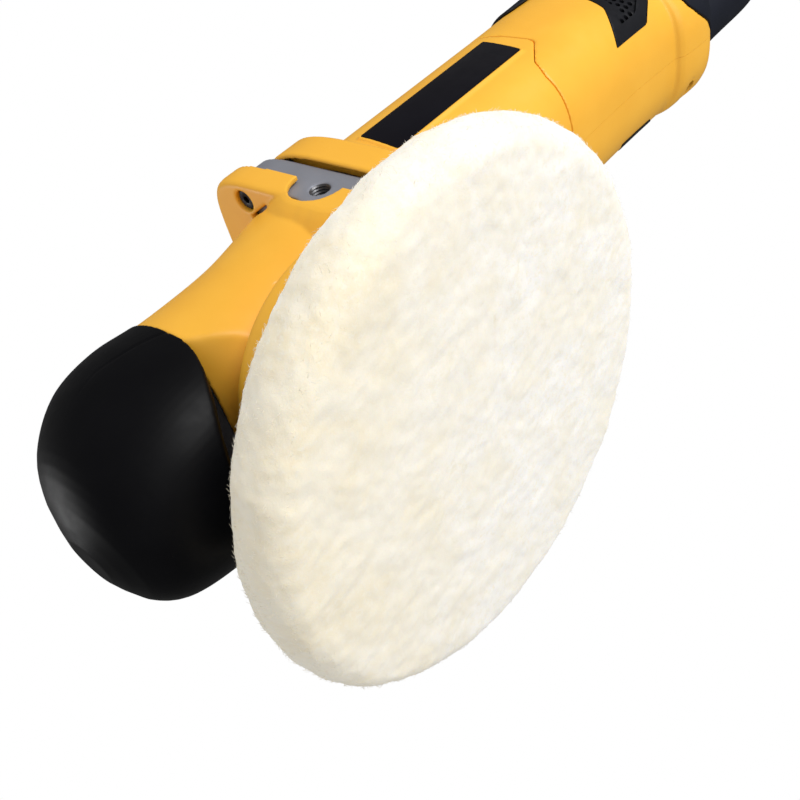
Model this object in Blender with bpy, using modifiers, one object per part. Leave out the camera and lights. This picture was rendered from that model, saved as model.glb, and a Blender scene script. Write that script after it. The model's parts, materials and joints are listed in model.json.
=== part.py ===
"""Rotary polisher, 180 mm class, with a wool pad and a closed rear handle.

Frame: the origin is the centre of the pad's working face, on the spindle's axis. +X points to the nose,
+Y to the tool's left and +Z up, away from the work. Lengths are in metres.
"""

import math

import bmesh
import bpy
from mathutils import Matrix, Vector

MM = 0.001
TAU = 2 * math.pi

# Driving dimensions.
PAD_RADIUS = 95 * MM
PAD_HEIGHT = 25 * MM
AXIS_Z = 104 * MM
LAYSHAFT_Z = 84 * MM
WALL = 2.8 * MM
COVER_WALL = 2.4 * MM
CASE_WALL = 3.6 * MM

# Gear train.
PINION_TEETH = 8
WHEEL_TEETH = 24
SPUR_MODULE = (AXIS_Z - LAYSHAFT_Z) * 2 / (PINION_TEETH + WHEEL_TEETH)
BEVEL_PINION_TEETH = 9
RING_TEETH = 30
BEVEL_MODULE = 1.8 * MM
BEVEL_FACE = 8 * MM

# Stations along the body: x, half width, lowest z, highest z, squareness of the section.
HEAD = [
    (-51.5, 44.5, 54.5, 155, 5.5),
    (-28, 44.5, 54.5, 155, 5.5),
    (-25.5, 40.9, 60, 142.5, 2.3),
    (-12, 40.3, 60, 138.5, 2.1),
    (10, 38.7, 59, 135, 2.05),
    (40, 38.7, 52, 136.5, 2.05),
    (60, 40, 48, 139, 2.05),
    (78, 37.2, 48, 136, 2.05),
    (94, 29.2, 50.5, 123.5, 2.05),
    (103, 18.8, 58, 107, 2.05),
    (107.5, 7.5, 71, 90, 2),
]
MOTOR = [
    (-52, 45, 58.8, 150, 3.4),
    (-67, 45, 58.8, 150, 3.4),
    (-73, 38.6, 65.4, 142.6, 2.8),
    (-190, 38.5, 65.5, 142.5, 2.8),
]
REAR = [
    (-120, 38.5, 65.5, 142.5, 2.8),
    (-205, 38.5, 65.5, 143, 2.8),
    (-244, 37.5, 63.5, 147, 2.8),
    (-248.5, 37.5, 57.5, 148, 2.9),
    (-266, 35, 57, 150, 3),
    (-273, 30, 61, 147, 3),
]
# Centre line of the handle: x, z, half width, half thickness.
HANDLE = [
    (-240, 128, 19, 17),
    (-262, 138, 18.5, 16.5),
    (-290, 143, 17.5, 16),
    (-320, 143, 17, 15.5),
    (-346, 137, 16, 14.5),
    (-364, 123, 15, 13),
    (-366, 106, 14, 12),
    (-357, 90, 12.5, 11),
    (-342, 76.5, 11, 10),
    (-322, 73.5, 10.5, 10),
    (-290, 73.5, 10.5, 10),
    (-255, 73.5, 10.5, 10),
]

# Outlines across Y, as (x, z): the boot's rear edge, the housings' joint line, a vent panel and a label.
BOOT_EDGE = [(45, 170), (45, 79), (51, 69), (68, 47), (76, 20)]
SEAM = [(-173, 170), (-173, 94), (-158.5, 84.6), (-154.5, 77), (-154.5, 40)]
VENT = [(-204, 72), (-228, 70), (-246, 84), (-250, 113), (-217, 113), (-216.5, 92), (-211, 81)]
LABEL = [(-79.5, 116.3), (-165.5, 116.3), (-162.5, 93.7), (-76.5, 93.7)]
OVERMOULD = [
    (-200, 170), (-200, 127), (-214, 124), (-250, 127), (-276, 138), (-330, 140), (-344, 132),
    (-352, 118), (-348, 92), (-351, 83), (-372, 70), (-400, 70), (-400, 170),
]
BOSS = (-39.5, 101)
FLANGE_SCREWS = [(y, AXIS_Z / MM + z) for y in (-36, 36) for z in (-30, 30)]
HANDLE_SCREWS = [(-214, 135), (-256, 64.5), (-344, 134), (-350, 84)]
LOCK_X = 13.3
DIAL = (-236, 0, 138)
TRIGGER_PIVOT = (-287, 0, 131.5)
LOCK_ON = (-306, 0, 142)
GLAND = (0, 0, 103)


def clear_scene():
    for thing in list(bpy.data.objects):
        bpy.data.objects.remove(thing)


def new_collection(name):
    group = bpy.data.collections.new(name)
    bpy.context.scene.collection.children.link(group)
    return group


def material(name, colour, roughness, metallic=0.0):
    look = bpy.data.materials.new(name)
    look.use_nodes = True
    shader = look.node_tree.nodes["Principled BSDF"]
    shader.inputs["Base Color"].default_value = (*colour, 1.0)
    shader.inputs["Roughness"].default_value = roughness
    shader.inputs["Metallic"].default_value = metallic
    return look


clear_scene()
PARTS = new_collection("rotary_polisher")
TOOLS = new_collection("cutters")
LOOKS = {
    "yellow": material("yellow_plastic", (0.95, 0.48, 0.045), 0.42),
    "black": material("black_plastic", (0.016, 0.016, 0.018), 0.5),
    "rubber": material("black_rubber", (0.012, 0.012, 0.014), 0.62),
    "label": material("label_film", (0.02, 0.018, 0.03), 0.35),
    "alloy": material("cast_alloy", (0.42, 0.43, 0.47), 0.45, 0.9),
    "steel": material("steel", (0.5, 0.5, 0.52), 0.32, 1.0),
    "bearing": material("bearing_steel", (0.62, 0.62, 0.64), 0.2, 1.0),
    "copper": material("copper_wire", (0.72, 0.32, 0.16), 0.35, 1.0),
    "brass": material("brass", (0.78, 0.58, 0.22), 0.3, 1.0),
    "carbon": material("carbon", (0.03, 0.03, 0.03), 0.7),
    "board": material("circuit_board", (0.05, 0.2, 0.09), 0.5),
    "wool": material("wool_pile", (0.93, 0.89, 0.76), 0.95),
}


def place(thing, name, look, tool=False):
    """Names an object and puts it with the parts, or with the hidden tools that shape them."""
    thing.name = name
    for group in list(thing.users_collection):
        group.objects.unlink(thing)
    (TOOLS if tool else PARTS).objects.link(thing)
    if tool:
        thing.hide_render = True
        thing.display_type = "WIRE"
    else:
        thing.data.materials.clear()
        thing.data.materials.append(LOOKS[look])
        thing.data.shade_smooth()
        thing.data.set_sharp_from_angle(angle=math.radians(35))
    return thing


def from_bmesh(shape, name, look="yellow", tool=False):
    bmesh.ops.recalc_face_normals(shape, faces=shape.faces)
    mesh = bpy.data.meshes.new(name)
    shape.to_mesh(mesh)
    shape.free()
    return place(bpy.data.objects.new(name, mesh), name, look, tool)


def ring_points(centre, across, along, half_width, half_height, power, count):
    """Points round a superellipse whose half axes lie along two unit vectors."""
    points = []
    for step in range(count):
        turn = TAU * (step + 0.5) / count
        cosine = math.cos(turn)
        sine = math.sin(turn)
        side = math.copysign(abs(cosine) ** (2 / power), cosine)
        rise = math.copysign(abs(sine) ** (2 / power), sine)
        points.append(centre + across * (half_width * side) + along * (half_height * rise))
    return points


def skin(rings, name, look="yellow", tool=False):
    """A closed solid through a row of rings with the same number of points."""
    shape = bmesh.new()
    loops = [[shape.verts.new(point) for point in ring] for ring in rings]
    count = len(rings[0])
    for first, second in zip(loops, loops[1:]):
        for step in range(count):
            after = (step + 1) % count
            shape.faces.new((first[step], first[after], second[after], second[step]))
    shape.faces.new(loops[0])
    shape.faces.new(loops[-1])
    return from_bmesh(shape, name, look, tool)


def body_loft(stations, name, grow=0.0, look="yellow", tool=False, count=20):
    """A loft along X through stations given in millimetres, grown outwards by a distance in metres."""
    across = Vector((0, 1, 0))
    up = Vector((0, 0, 1))
    rings = []
    for x, half, low, high, power in stations:
        centre = Vector((x * MM, 0, (low + high) / 2 * MM))
        half_height = (high - low) / 2 * MM + grow
        rings.append(ring_points(centre, across, up, half * MM + grow, half_height, power, count))
    return skin(rings, name, look, tool)


def handle_loft(name, grow=0.0, first=0, last=len(HANDLE), look="yellow", tool=False, count=12):
    """The handle's bar, swept along its centre line in the XZ plane."""
    points = [Vector((x * MM, 0, z * MM)) for x, z, _, _ in HANDLE]
    rings = []
    for index in range(first, last):
        before = points[max(index - 1, 0)]
        after = points[min(index + 1, len(points) - 1)]
        run = (after - before).normalized()
        outward = Vector((run.z, 0, -run.x))
        half, thick = HANDLE[index][2] * MM, HANDLE[index][3] * MM
        across = Vector((0, 1, 0))
        rings.append(ring_points(points[index], across, outward, half + grow, thick + grow, 2.4, count))
    return skin(rings, name, look, tool)


AXES = {
    "Z": Matrix(),
    "X": Matrix.Rotation(math.pi / 2, 4, "Y"),
    "Y": Matrix.Rotation(-math.pi / 2, 4, "X"),
}


def turned(profile, name, look="steel", at=(0, 0, 0), along="Z", steps=20, tool=False):
    """A turned solid: (radius, height) points in millimetres, down the outer side, on a Screw modifier.

    An open profile starts and ends on the axis; a closed one, for a ring, repeats its first point.
    """
    closed = profile[0] == profile[-1]
    outline = profile[:-1] if closed else profile
    shape = bmesh.new()
    verts = [shape.verts.new((radius * MM, 0, height * MM)) for radius, height in outline]
    for first, second in zip(verts, verts[1:]):
        shape.edges.new((first, second))
    if closed:
        shape.edges.new((verts[-1], verts[0]))
    mesh = bpy.data.meshes.new(name)
    shape.to_mesh(mesh)
    shape.free()
    thing = place(bpy.data.objects.new(name, mesh), name, look, tool)
    # Tools are turned a little about their own axes, so that their edges don't fall on a part's edges.
    twist = Matrix.Rotation(TAU / steps * (0.31 if tool else 0), 4, "Z")
    thing.matrix_world = Matrix.Translation(Vector(at) * MM) @ AXES[along] @ twist
    screw = thing.modifiers.new("turn", "SCREW")
    screw.steps = steps
    screw.render_steps = steps
    screw.use_merge_vertices = True
    screw.merge_threshold = 1e-5
    screw.use_smooth_shade = True
    return thing


def rod(radius, low, high, name, **where):
    """A plain cylinder between two heights along its axis."""
    return turned([(0, high), (radius, high), (radius, low), (0, low)], name, **where)


def sleeve(outer, inner, low, high, name, **where):
    """A plain ring between two heights along its axis."""
    profile = [(inner, high), (outer, high), (outer, low), (inner, low), (inner, high)]
    return turned(profile, name, **where)


def box(low, high, name, look="black", tool=False):
    """A box between two corners in millimetres."""
    shape = bmesh.new()
    bmesh.ops.create_cube(shape, size=1)
    middle = (Vector(low) + Vector(high)) * MM / 2
    size = (Vector(high) - Vector(low)) * MM
    stretch = Matrix.Translation(middle) @ Matrix.Diagonal((*size, 1))
    bmesh.ops.transform(shape, matrix=stretch, verts=shape.verts)
    return from_bmesh(shape, name, look, tool)


def prism(outline, low, high, name, look="black", along="Y", at=(0, 0, 0), tool=False):
    """A flat outline in millimetres, drawn in the plane across an axis and extruded along it.

    Across Y the outline is (x, z); across X it is (y, z); across Z it is (x, y).
    """
    def point(first, second, height):
        spots = {"Y": (first, height, second), "X": (height, first, second), "Z": (first, second, height)}
        return (Vector(spots[along]) + Vector(at)) * MM

    shape = bmesh.new()
    floor = [shape.verts.new(point(first, second, low)) for first, second in outline]
    roof = [shape.verts.new(point(first, second, high)) for first, second in outline]
    shape.faces.new(floor)
    shape.faces.new(roof)
    for step in range(len(outline)):
        after = (step + 1) % len(outline)
        shape.faces.new((floor[step], floor[after], roof[after], roof[step]))
    return from_bmesh(shape, name, look, tool)


def boolean(thing, operation, *others):
    for other in others:
        step = thing.modifiers.new(f"{operation.lower()}_{other.name}", "BOOLEAN")
        step.operation = operation
        step.object = other
        step.solver = "EXACT"
    return thing


def cut(thing, *others):
    return boolean(thing, "DIFFERENCE", *others)


def join(thing, *others):
    return boolean(thing, "UNION", *others)


def keep(thing, *others):
    return boolean(thing, "INTERSECT", *others)


def set_origin(thing, spot):
    """Moves an object's origin to a point in millimetres, with its shape left where it is."""
    shift = Vector(spot) * MM
    thing.data.transform(Matrix.Translation(-shift))
    thing.matrix_world = Matrix.Translation(shift) @ thing.matrix_world


def arc(centre, radius, start, end, count):
    """Points on a circular arc, in millimetres and degrees."""
    points = []
    for step in range(count + 1):
        turn = math.radians(start + (end - start) * step / count)
        points.append((centre[0] + radius * math.cos(turn), centre[1] + radius * math.sin(turn)))
    return points


# The pad, its backing plate and the spindle -------------------------------------------------------------

def make_pad():
    edge = [(PAD_RADIUS / MM - 9 + x, PAD_HEIGHT / MM / 2 + z * 1.25)
            for x, z in arc((0, 0), 9, 75, -75, 5)]
    top = PAD_HEIGHT / MM
    turned([(0, top), (84, top), *edge, (86, 0), (0, 0)], "wool_pad", "wool", steps=36)


def make_backing_plate():
    plate = [(7.5, 38), (24, 38), (30, 36), (76, 30.8), (80.5, 29.5), (81.5, 28), (81.5, 26), (80.7, 25.3),
             (7.5, 25.3), (7.5, 38)]
    turned(plate, "backing_plate", "rubber", steps=28)


def make_spindle():
    profile = [
        (0, 94), (5.8, 94), (5.8, 84), (7.9, 82), (7.9, 61), (7.3, 60), (7.3, 47),
        (12, 46.5), (12, 38.4), (7, 38.4), (7, 28.5), (6, 27), (0, 27),
    ]
    turned(profile, "spindle", "steel", steps=20)


# Gears -------------------------------------------------------------------------------------------------

def tooth_outline(teeth, module, thickness, addendum, dedendum, flank_steps):
    """One tooth as (radius, angle) pairs, root to root, with involute flanks above the base circle."""
    pitch = teeth * module / 2
    base = pitch * math.cos(math.radians(20))
    root = pitch - dedendum * module
    tip = pitch + addendum * module

    def involute(radius):
        lean = math.acos(min(1.0, base / radius))
        return math.tan(lean) - lean

    half = thickness * math.pi * module / 2 / pitch
    start = max(base * 1.001, root)
    flank = []
    for step in range(flank_steps):
        radius = start + (tip - start) * step / (flank_steps - 1)
        flank.append((radius, half + involute(pitch) - involute(radius)))
    if root < start:
        flank.insert(0, (root, flank[0][1]))
    mirrored = [(radius, -angle) for radius, angle in flank]
    return mirrored + flank[::-1]


def spur_outline(teeth, module, phase, flank_steps):
    """The outline of a spur gear in millimetres, with a tooth centred on the phase angle."""
    tooth = tooth_outline(teeth, module, 0.44, 0.85, 1.15, flank_steps)
    points = []
    for index in range(teeth):
        for radius, angle in tooth:
            turn = phase + TAU * index / teeth + angle
            points.append((radius / MM * math.cos(turn), radius / MM * math.sin(turn)))
    return points


def bevel_points(teeth, other_teeth, phase, thickness, flank_steps):
    """Rings of (radius, distance from the apex along the axis, angle) at the outer end of the teeth.

    The tooth is drawn on the back cone, as the spur gear that a bevel gear is equal to there.
    """
    slope = math.atan(teeth / other_teeth)
    pitch = teeth * BEVEL_MODULE / 2
    equal_teeth = teeth / math.cos(slope)
    equal_pitch = equal_teeth * BEVEL_MODULE / 2
    tooth = tooth_outline(equal_teeth, BEVEL_MODULE, thickness, 0.8, 1.15, flank_steps)
    points = []
    for index in range(teeth):
        for reach, angle in tooth:
            above = reach - equal_pitch
            radius = pitch + above * math.cos(slope)
            distance = pitch / math.tan(slope) - above * math.sin(slope)
            points.append((radius, distance, phase + TAU * index / teeth + angle / math.cos(slope)))
    return points


def make_ring_gear():
    """The bevel ring gear: teeth face up, towards the apex where its axis meets the layshaft's."""
    teeth = bevel_points(RING_TEETH, BEVEL_PINION_TEETH, math.pi / RING_TEETH, 0.44, 2)
    cone = math.hypot(RING_TEETH, BEVEL_PINION_TEETH) * BEVEL_MODULE / 2
    shrink = (cone - BEVEL_FACE) / cone
    apex = Vector((0, 0, LAYSHAFT_Z))
    loops = []
    for scale in (1.0, shrink):
        loops.append([
            Vector((radius * math.cos(turn), radius * math.sin(turn), -depth)) * scale + apex
            for radius, depth, turn in teeth
        ])
    for radius, height in ((17.5, 74), (8.3, 74), (8.3, 64.5), (25.5, 64.5), (27, 67)):
        loops.append([
            Vector((radius * MM * math.cos(turn), radius * MM * math.sin(turn), height * MM))
            for turn in (TAU * index / RING_TEETH for index in range(RING_TEETH))
        ])
    gear = stitched(loops, "ring_gear", "steel")
    pockets = []
    for index in range(4):
        turn = TAU * index / 4
        spot = (13.3 * math.cos(turn), 13.3 * math.sin(turn), 0)
        pockets.append(rod(3.3, 60, 80, f"lock_hole_{index + 1}", at=spot, steps=10, tool=True))
    cut(gear, *pockets)


def stitched(loops, name, look):
    """A closed ring-shaped solid through loops whose point counts are equal or multiples of each other."""
    shape = bmesh.new()
    rows = [[shape.verts.new(point) for point in loop] for loop in loops]
    for first, second in zip(rows, rows[1:] + rows[:1]):
        if len(first) == len(second):
            for step in range(len(first)):
                after = (step + 1) % len(first)
                shape.faces.new((first[step], first[after], second[after], second[step]))
            continue
        many, few = (first, second) if len(first) > len(second) else (second, first)
        share = len(many) // len(few)
        for step, corner in enumerate(few):
            for part in range(share):
                index = step * share + part
                shape.faces.new((many[index], many[(index + 1) % len(many)], corner))
            shape.faces.new((many[(step + 1) * share % len(many)], few[(step + 1) % len(few)], corner))
    return from_bmesh(shape, name, look)


def make_layshaft():
    """The intermediate shaft with its bevel pinion, and the spur wheel pressed on it."""
    teeth = bevel_points(BEVEL_PINION_TEETH, RING_TEETH, -math.pi / 2, 0.44, 3)
    cone = math.hypot(RING_TEETH, BEVEL_PINION_TEETH) * BEVEL_MODULE / 2
    shrink = (cone - BEVEL_FACE) / cone
    apex = Vector((0, 0, LAYSHAFT_Z))
    loops = []
    for scale in (1.0, shrink):
        loops.append([
            Vector((-depth, radius * math.cos(turn), radius * math.sin(turn))) * scale + apex
            for radius, depth, turn in teeth
        ])
    pinion = skin(loops, "bevel_pinion_teeth", tool=True)
    profile = [
        (0, -18), (3.6, -18), (3.6, -24), (5.8, -26), (6, -34.5), (5, -35), (5, -46.5), (4, -47), (4, -62),
        (0, -62),
    ]
    shaft = turned(profile, "intermediate_shaft", "steel", at=(0, 0, LAYSHAFT_Z / MM), along="X", steps=16)
    join(shaft, pinion)
    wheel = prism(spur_outline(WHEEL_TEETH, SPUR_MODULE, math.pi / 2 + math.pi / WHEEL_TEETH, 2), -45.5, -36,
                  "intermediate_gear", "steel", along="X", at=(0, 0, LAYSHAFT_Z / MM))
    set_origin(wheel, (0, 0, LAYSHAFT_Z / MM))
    cut(wheel, rod(5.3, -60, -30, "wheel_bore", at=(0, 0, LAYSHAFT_Z / MM), along="X", steps=16, tool=True))


# Motor --------------------------------------------------------------------------------------------------

def make_armature():
    axis = AXIS_Z / MM
    centre = (0, 0, axis)
    profile = [
        (0, -35.3), (3.2, -35.3), (3.2, -48), (4, -49), (4, -63), (5, -63.5), (5, -186), (4, -187),
        (4, -199), (0, -199),
    ]
    shaft = turned(profile, "armature_shaft", "steel", at=centre, along="X", steps=16)
    join(shaft, prism(spur_outline(PINION_TEETH, SPUR_MODULE, -math.pi / 2, 4), -46.5, -36,
                      "armature_pinion_teeth", along="X", at=centre, tool=True))

    slots = 12
    outline = []
    for index in range(slots):
        for turn, radius in ((-0.2, 19.6), (0.2, 19.6), (0.24, 14.5), (0.28, 14.5)):
            angle = TAU * index / slots + turn
            outline.append((radius * math.cos(angle), radius * math.sin(angle)))
    core = prism(outline, -147, -100, "armature_core", "steel", along="X", at=centre)
    set_origin(core, centre)
    cut(core, rod(5.3, -170, -90, "core_bore", at=centre, along="X", steps=16, tool=True))

    front = [(5.3, -88), (13, -88), (17, -91), (17.6, -99.7), (5.3, -99.7), (5.3, -88)]
    rear = [(5.3, -147.3), (17.6, -147.3), (17, -156), (12.6, -161), (5.3, -161), (5.3, -147.3)]
    turned(front, "armature_winding_front", "copper", at=centre, along="X", steps=24)
    turned(rear, "armature_winding_rear", "copper", at=centre, along="X", steps=24)
    sleeve(12.4, 5.3, -183, -162, "commutator", look="brass", at=centre, along="X", steps=24)

    hub = [(5.3, -66), (9, -66), (10, -76), (29.5, -78), (29.5, -80), (5.3, -80), (5.3, -66)]
    fan = turned(hub, "fan", "black", at=centre, along="X", steps=24)
    blades = []
    for index in range(9):
        blade = box((-78.5, -0.9, 11), (-68, 0.9, 29), f"fan_blade_{index + 1}", tool=True)
        turn = Matrix.Rotation(TAU * index / 9, 4, "X")
        blade.matrix_world = Matrix.Translation((0, 0, AXIS_Z)) @ turn
        blades.append(blade)
    join(fan, *blades)


def sector(inner, outer, start, end, low, high, name, **where):
    """A block between two radii and two angles about the motor's axis."""
    outline = arc((0, 0), outer, start, end, 8) + arc((0, 0), inner, end, start, 8)
    return prism(outline, low, high, name, along="X", at=(0, 0, AXIS_Z / MM), **where)


def make_stator():
    centre = (0, 0, AXIS_Z / MM)
    core = rod(34, -150, -97, "stator_core", look="steel", at=centre, along="X", steps=24)
    inside = []
    for middle in (0, 90, 180, 270):
        inside += arc((0, 0), 20.6 if middle % 180 == 0 else 30, middle - 43, middle + 43, 9)
    cut(core, prism(inside, -160, -90, "stator_inside", along="X", at=centre, tool=True))
    for name, middle in (("left", 0), ("right", 180)):
        coil = sector(21.3, 29.4, middle - 76, middle + 76, -156, -91, f"field_coil_{name}", look="copper")
        cut(coil, sector(18, 32, middle - 48, middle + 48, -150.4, -96.6, f"coil_window_{name}", tool=True))


def make_brushes():
    axis = AXIS_Z / MM
    centre = (0, 0, axis)
    bell = [(11.4, -186.5), (31.5, -186.5), (31.5, -163), (34.8, -163), (34.8, -199), (9, -199), (9, -197.6),
            (11.4, -197.6), (11.4, -186.5)]
    end_bell = turned(bell[::-1], "end_bell", "black", at=centre, along="X", steps=24)
    windows = [box((-181, -40, axis - 8.4), (-165, 40, axis + 8.4), "brush_windows", tool=True)]
    cut(end_bell, *windows)
    for name, side in (("left", 1), ("right", -1)):
        ends = sorted((side * 14.2, side * 34.4))
        holder = box((-180.5, ends[0], axis - 8), (-165.5, ends[1], axis + 8), f"brush_holder_{name}",
                     "brass")
        cut(holder, box((-177.6, ends[0] - 1, axis - 4.6), (-168.4, ends[1] + 1, axis + 4.6),
                        f"brush_slot_{name}", tool=True))
        reach = sorted((side * 12.9, side * 27))
        box((-177.2, reach[0], axis - 4.2), (-168.8, reach[1], axis + 4.2), f"brush_{name}", "carbon")


def make_bearings():
    spindle = (0, 0, 0)
    motor = (0, 0, AXIS_Z / MM)
    lay = (0, 0, LAYSHAFT_Z / MM)
    sleeve(17.5, 7.8, 48.3, 59.5, "spindle_bearing_lower", look="bearing", at=spindle)
    sleeve(8.2, 6.2, 86.5, 94.5, "spindle_bearing_upper", look="bearing", at=spindle, steps=16)
    sleeve(9.6, 6.4, -34.4, -28.6, "intermediate_bearing_front", look="bearing", at=lay, along="X", steps=16)
    sleeve(6.2, 4.3, -61.5, -55, "intermediate_bearing_rear", look="bearing", at=lay, along="X", steps=16)
    sleeve(11, 4.4, -61.5, -54.5, "armature_bearing_front", look="bearing", at=motor, along="X", steps=20)
    sleeve(11, 4.4, -197.2, -190, "armature_bearing_rear", look="bearing", at=motor, along="X", steps=20)


# Gear head ----------------------------------------------------------------------------------------------

def grown(stations, grow, setback=0.0, start=None):
    """Stations moved inwards: the nose draws back, and so does the flange's front wall."""
    moved = []
    for x, half, low, high, power in stations:
        if x > 60:
            x += grow * (x - 60) / 42.5
        elif -30 < x < -25:
            x -= setback
        moved.append((x, max(half + grow, 1), low - grow, high + grow, power))
    if start is not None:
        moved[0] = (start, *moved[0][1:])
    return moved


def skirt(name, grow, floor, tool=True):
    """The round skirt above the pad, which flares out of the neck round the ring gear."""
    flare = [(34, 86), (39, 71), (44, 65.3), (49, 63), (50, 60.5), (50, floor)]
    profile = [(0, 86), *((radius + grow, height) for radius, height in flare), (0, floor)]
    return turned(profile, name, tool=tool, steps=28)


def ahead_of_boot_edge(name, gap):
    outline = [(x + gap, z) for x, z in BOOT_EDGE] + [(130, 20), (130, 170)]
    return prism(outline, -70, 70, name, tool=True)


def behind_boot_edge(name, gap):
    outline = [(x + gap, z) for x, z in BOOT_EDGE] + [(-90, 20), (-90, 170)]
    return prism(outline, -70, 70, name, tool=True)


def flange_holes(name, radius, low, high):
    return [
        rod(radius, low, high, f"{name}_{index + 1}", at=(0, *spot), along="X", steps=10, tool=True)
        for index, spot in enumerate(FLANGE_SCREWS)
    ]


def make_gear_case():
    depth = COVER_WALL / MM + 1
    inner = depth + CASE_WALL / MM
    case = body_loft(grown(HEAD, -depth, 3.4, -51.7), "gear_case", look="alloy", count=18)
    join(case, skirt("case_bowl", -2.9, 46.5))
    front = [(-28.3, *station[1:]) if station[0] < -25 else station for station in grown(HEAD[2:], -inner)]
    rear = [(-60, 38, 65, 143, 2.5), (-34.7, 38, 65, 143, 2.5)]
    cut(case, body_loft(front, "front_chamber", tool=True, count=14),
        body_loft(rear, "rear_chamber", tool=True, count=14))
    cut(case, rod(9.9, -37, -15, "lay_bearing_seat", at=(0, 0, LAYSHAFT_Z / MM), along="X", tool=True))
    bowl = [(0, 88.4), (29.1, 88.4), (31, 72), (31, 62.6), (0, 62.6)]
    cut(case, turned(bowl, "gear_bowl", tool=True, steps=26))
    lock = (LOCK_X, 0, 0)
    join(case, rod(9.6, 84, 129, "upper_bearing_post", tool=True, steps=20))
    join(case, rod(9.6, 104, 128.5, "lock_post", at=lock, tool=True, steps=20))
    boss = (BOSS[0], 0, BOSS[1])
    bosses = [(9.4, 27, 41.5), (9.4, -41.5, -27)]
    for index, (radius, low, high) in enumerate(bosses):
        join(case, rod(radius, low, high, f"side_handle_boss_{index + 1}", at=boss, along="Y", steps=24,
                       tool=True))
    holes = [
        rod(17.8, 41, 64, "lower_bearing_seat", tool=True, steps=22),
        rod(8.5, 80, 95, "upper_bearing_seat", tool=True),
        rod(2.6, 76, 130, "lock_pin_guide", at=lock, tool=True, steps=12),
        rod(8.1, 114.5, 150, "lock_button_well", at=lock, tool=True, steps=20),
        rod(4, 28.5, 50, "side_handle_thread_left", at=boss, along="Y", steps=16, tool=True),
        rod(4, -50, -28.5, "side_handle_thread_right", at=boss, along="Y", steps=16, tool=True),
    ]
    for index in range(3):
        turn = TAU * (index / 3 + 1 / 6)
        spot = (24 * math.cos(turn), 24 * math.sin(turn), 0)
        holes.append(rod(2.1, 40, 59.5, f"retainer_thread_{index + 1}", at=spot, steps=10, tool=True))
    cut(case, *holes, *flange_holes("case_flange_hole", 2.3, -80, -20),
        *flange_holes("case_head_recess", 4.3, -33.3, -20))


def make_gear_cover():
    wall = -COVER_WALL / MM
    cover = body_loft(HEAD, "gear_cover", look="yellow")
    join(cover, skirt("cover_skirt", 0, 46))
    cut(cover, body_loft(grown(HEAD, wall, 3, -60), "cover_inside", tool=True),
        skirt("skirt_inside", wall, 40))
    cut(cover, ahead_of_boot_edge("cover_front_trim", -0.15))
    cut(cover, box((-60, -60, 89), (-42, 60, 170), "cover_rear_trim", tool=True))
    cut(cover, rod(10.4, -60, 60, "boss_notch", at=(BOSS[0], 0, BOSS[1]), along="Y", steps=24, tool=True))
    cut(cover, rod(8.1, 112, 160, "lock_button_hole", at=(LOCK_X, 0, 0), tool=True))
    cut(cover, rod(1.3, -60, 60, "cover_pin_holes", at=(6, 0, 81), along="Y", steps=8, tool=True))
    cut(cover, *flange_holes("cover_flange_hole", 4, -45, -20))


def make_nose_boot():
    boot = body_loft(grown(HEAD, 0.6), "nose_boot", look="rubber")
    cut(boot, body_loft(grown(HEAD, -2.5), "boot_inside", tool=True),
        behind_boot_edge("boot_rear_trim", 0.15), skirt("boot_skirt_clearance", 0.4, 20))


def make_retainer():
    retainer = turned([(13, 48), (17, 48), (17, 46.2), (30, 46.2), (30, 43), (13, 43), (13, 48)],
                      "bearing_retainer", "steel", steps=24)
    for index in range(3):
        turn = TAU * (index / 3 + 1 / 6)
        spot = (24 * math.cos(turn), 24 * math.sin(turn), 0)
        cut(retainer, rod(2.1, 40, 50, f"retainer_hole_{index + 1}", at=spot, steps=10, tool=True))
        screw = [(0, 57), (1.7, 57), (1.7, 42.7), (3.5, 42.7), (3.5, 41), (0, 41)]
        turned(screw, f"retainer_screw_{index + 1}", "steel", at=spot, steps=10)
    sleeve(17.4, 8.4, 60, 62.2, "dust_seal", look="rubber", steps=24)


def make_lock_button():
    profile = [(0, 139.6), (6.3, 139.6), (7.5, 138.4), (7.5, 126.5), (2.2, 126.5), (2.2, 76.5), (0, 76.5)]
    turned(profile, "lock_button", "black", at=(LOCK_X, 0, 0), steps=20)
    turns, per_turn = 4, 6
    coil = bpy.data.curves.new("lock_spring", "CURVE")
    coil.dimensions = "3D"
    coil.bevel_depth = 0.5 * MM
    coil.bevel_resolution = 1
    coil.use_fill_caps = True
    path = coil.splines.new("POLY")
    path.points.add(turns * per_turn)
    for index, point in enumerate(path.points):
        turn = TAU * index / per_turn
        rise = 115.4 + 10.3 * index / (turns * per_turn)
        point.co = ((LOCK_X + 5 * math.cos(turn)) * MM, 5 * MM * math.sin(turn), rise * MM, 1)
    spring = bpy.data.objects.new("lock_spring", coil)
    PARTS.objects.link(spring)
    coil.materials.append(LOOKS["steel"])


def make_flange_screws():
    for index, spot in enumerate(FLANGE_SCREWS):
        profile = [(0, -29.5), (3.6, -29.5), (3.6, -33), (2, -33), (2, -66), (0, -66)]
        turned(profile, f"flange_screw_{index + 1}", "steel", at=(0, *spot), along="X", steps=10)


# Motor housing ------------------------------------------------------------------------------------------

def make_motor_housing():
    housing = body_loft(MOTOR, "motor_housing", look="yellow")
    recess = [(-40, 37.9, 66.1, 141.9, 2.6), (-62.3, 37.9, 66.1, 141.9, 2.6)]
    bore = [(-30, 35.7, 68.3, 139.7, 2.6), (-210, 35.7, 68.3, 139.7, 2.6)]
    behind = [(x, z) for x, z in SEAM] + [(-260, 40), (-260, 170)]
    cut(housing, body_loft(recess, "plate_recess", tool=True), body_loft(bore, "motor_bore", tool=True),
        prism(behind, -70, 70, "housing_rear_trim", tool=True))
    cut(housing, *flange_holes("housing_screw_hole", 2.3, -66.6, -20))


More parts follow.
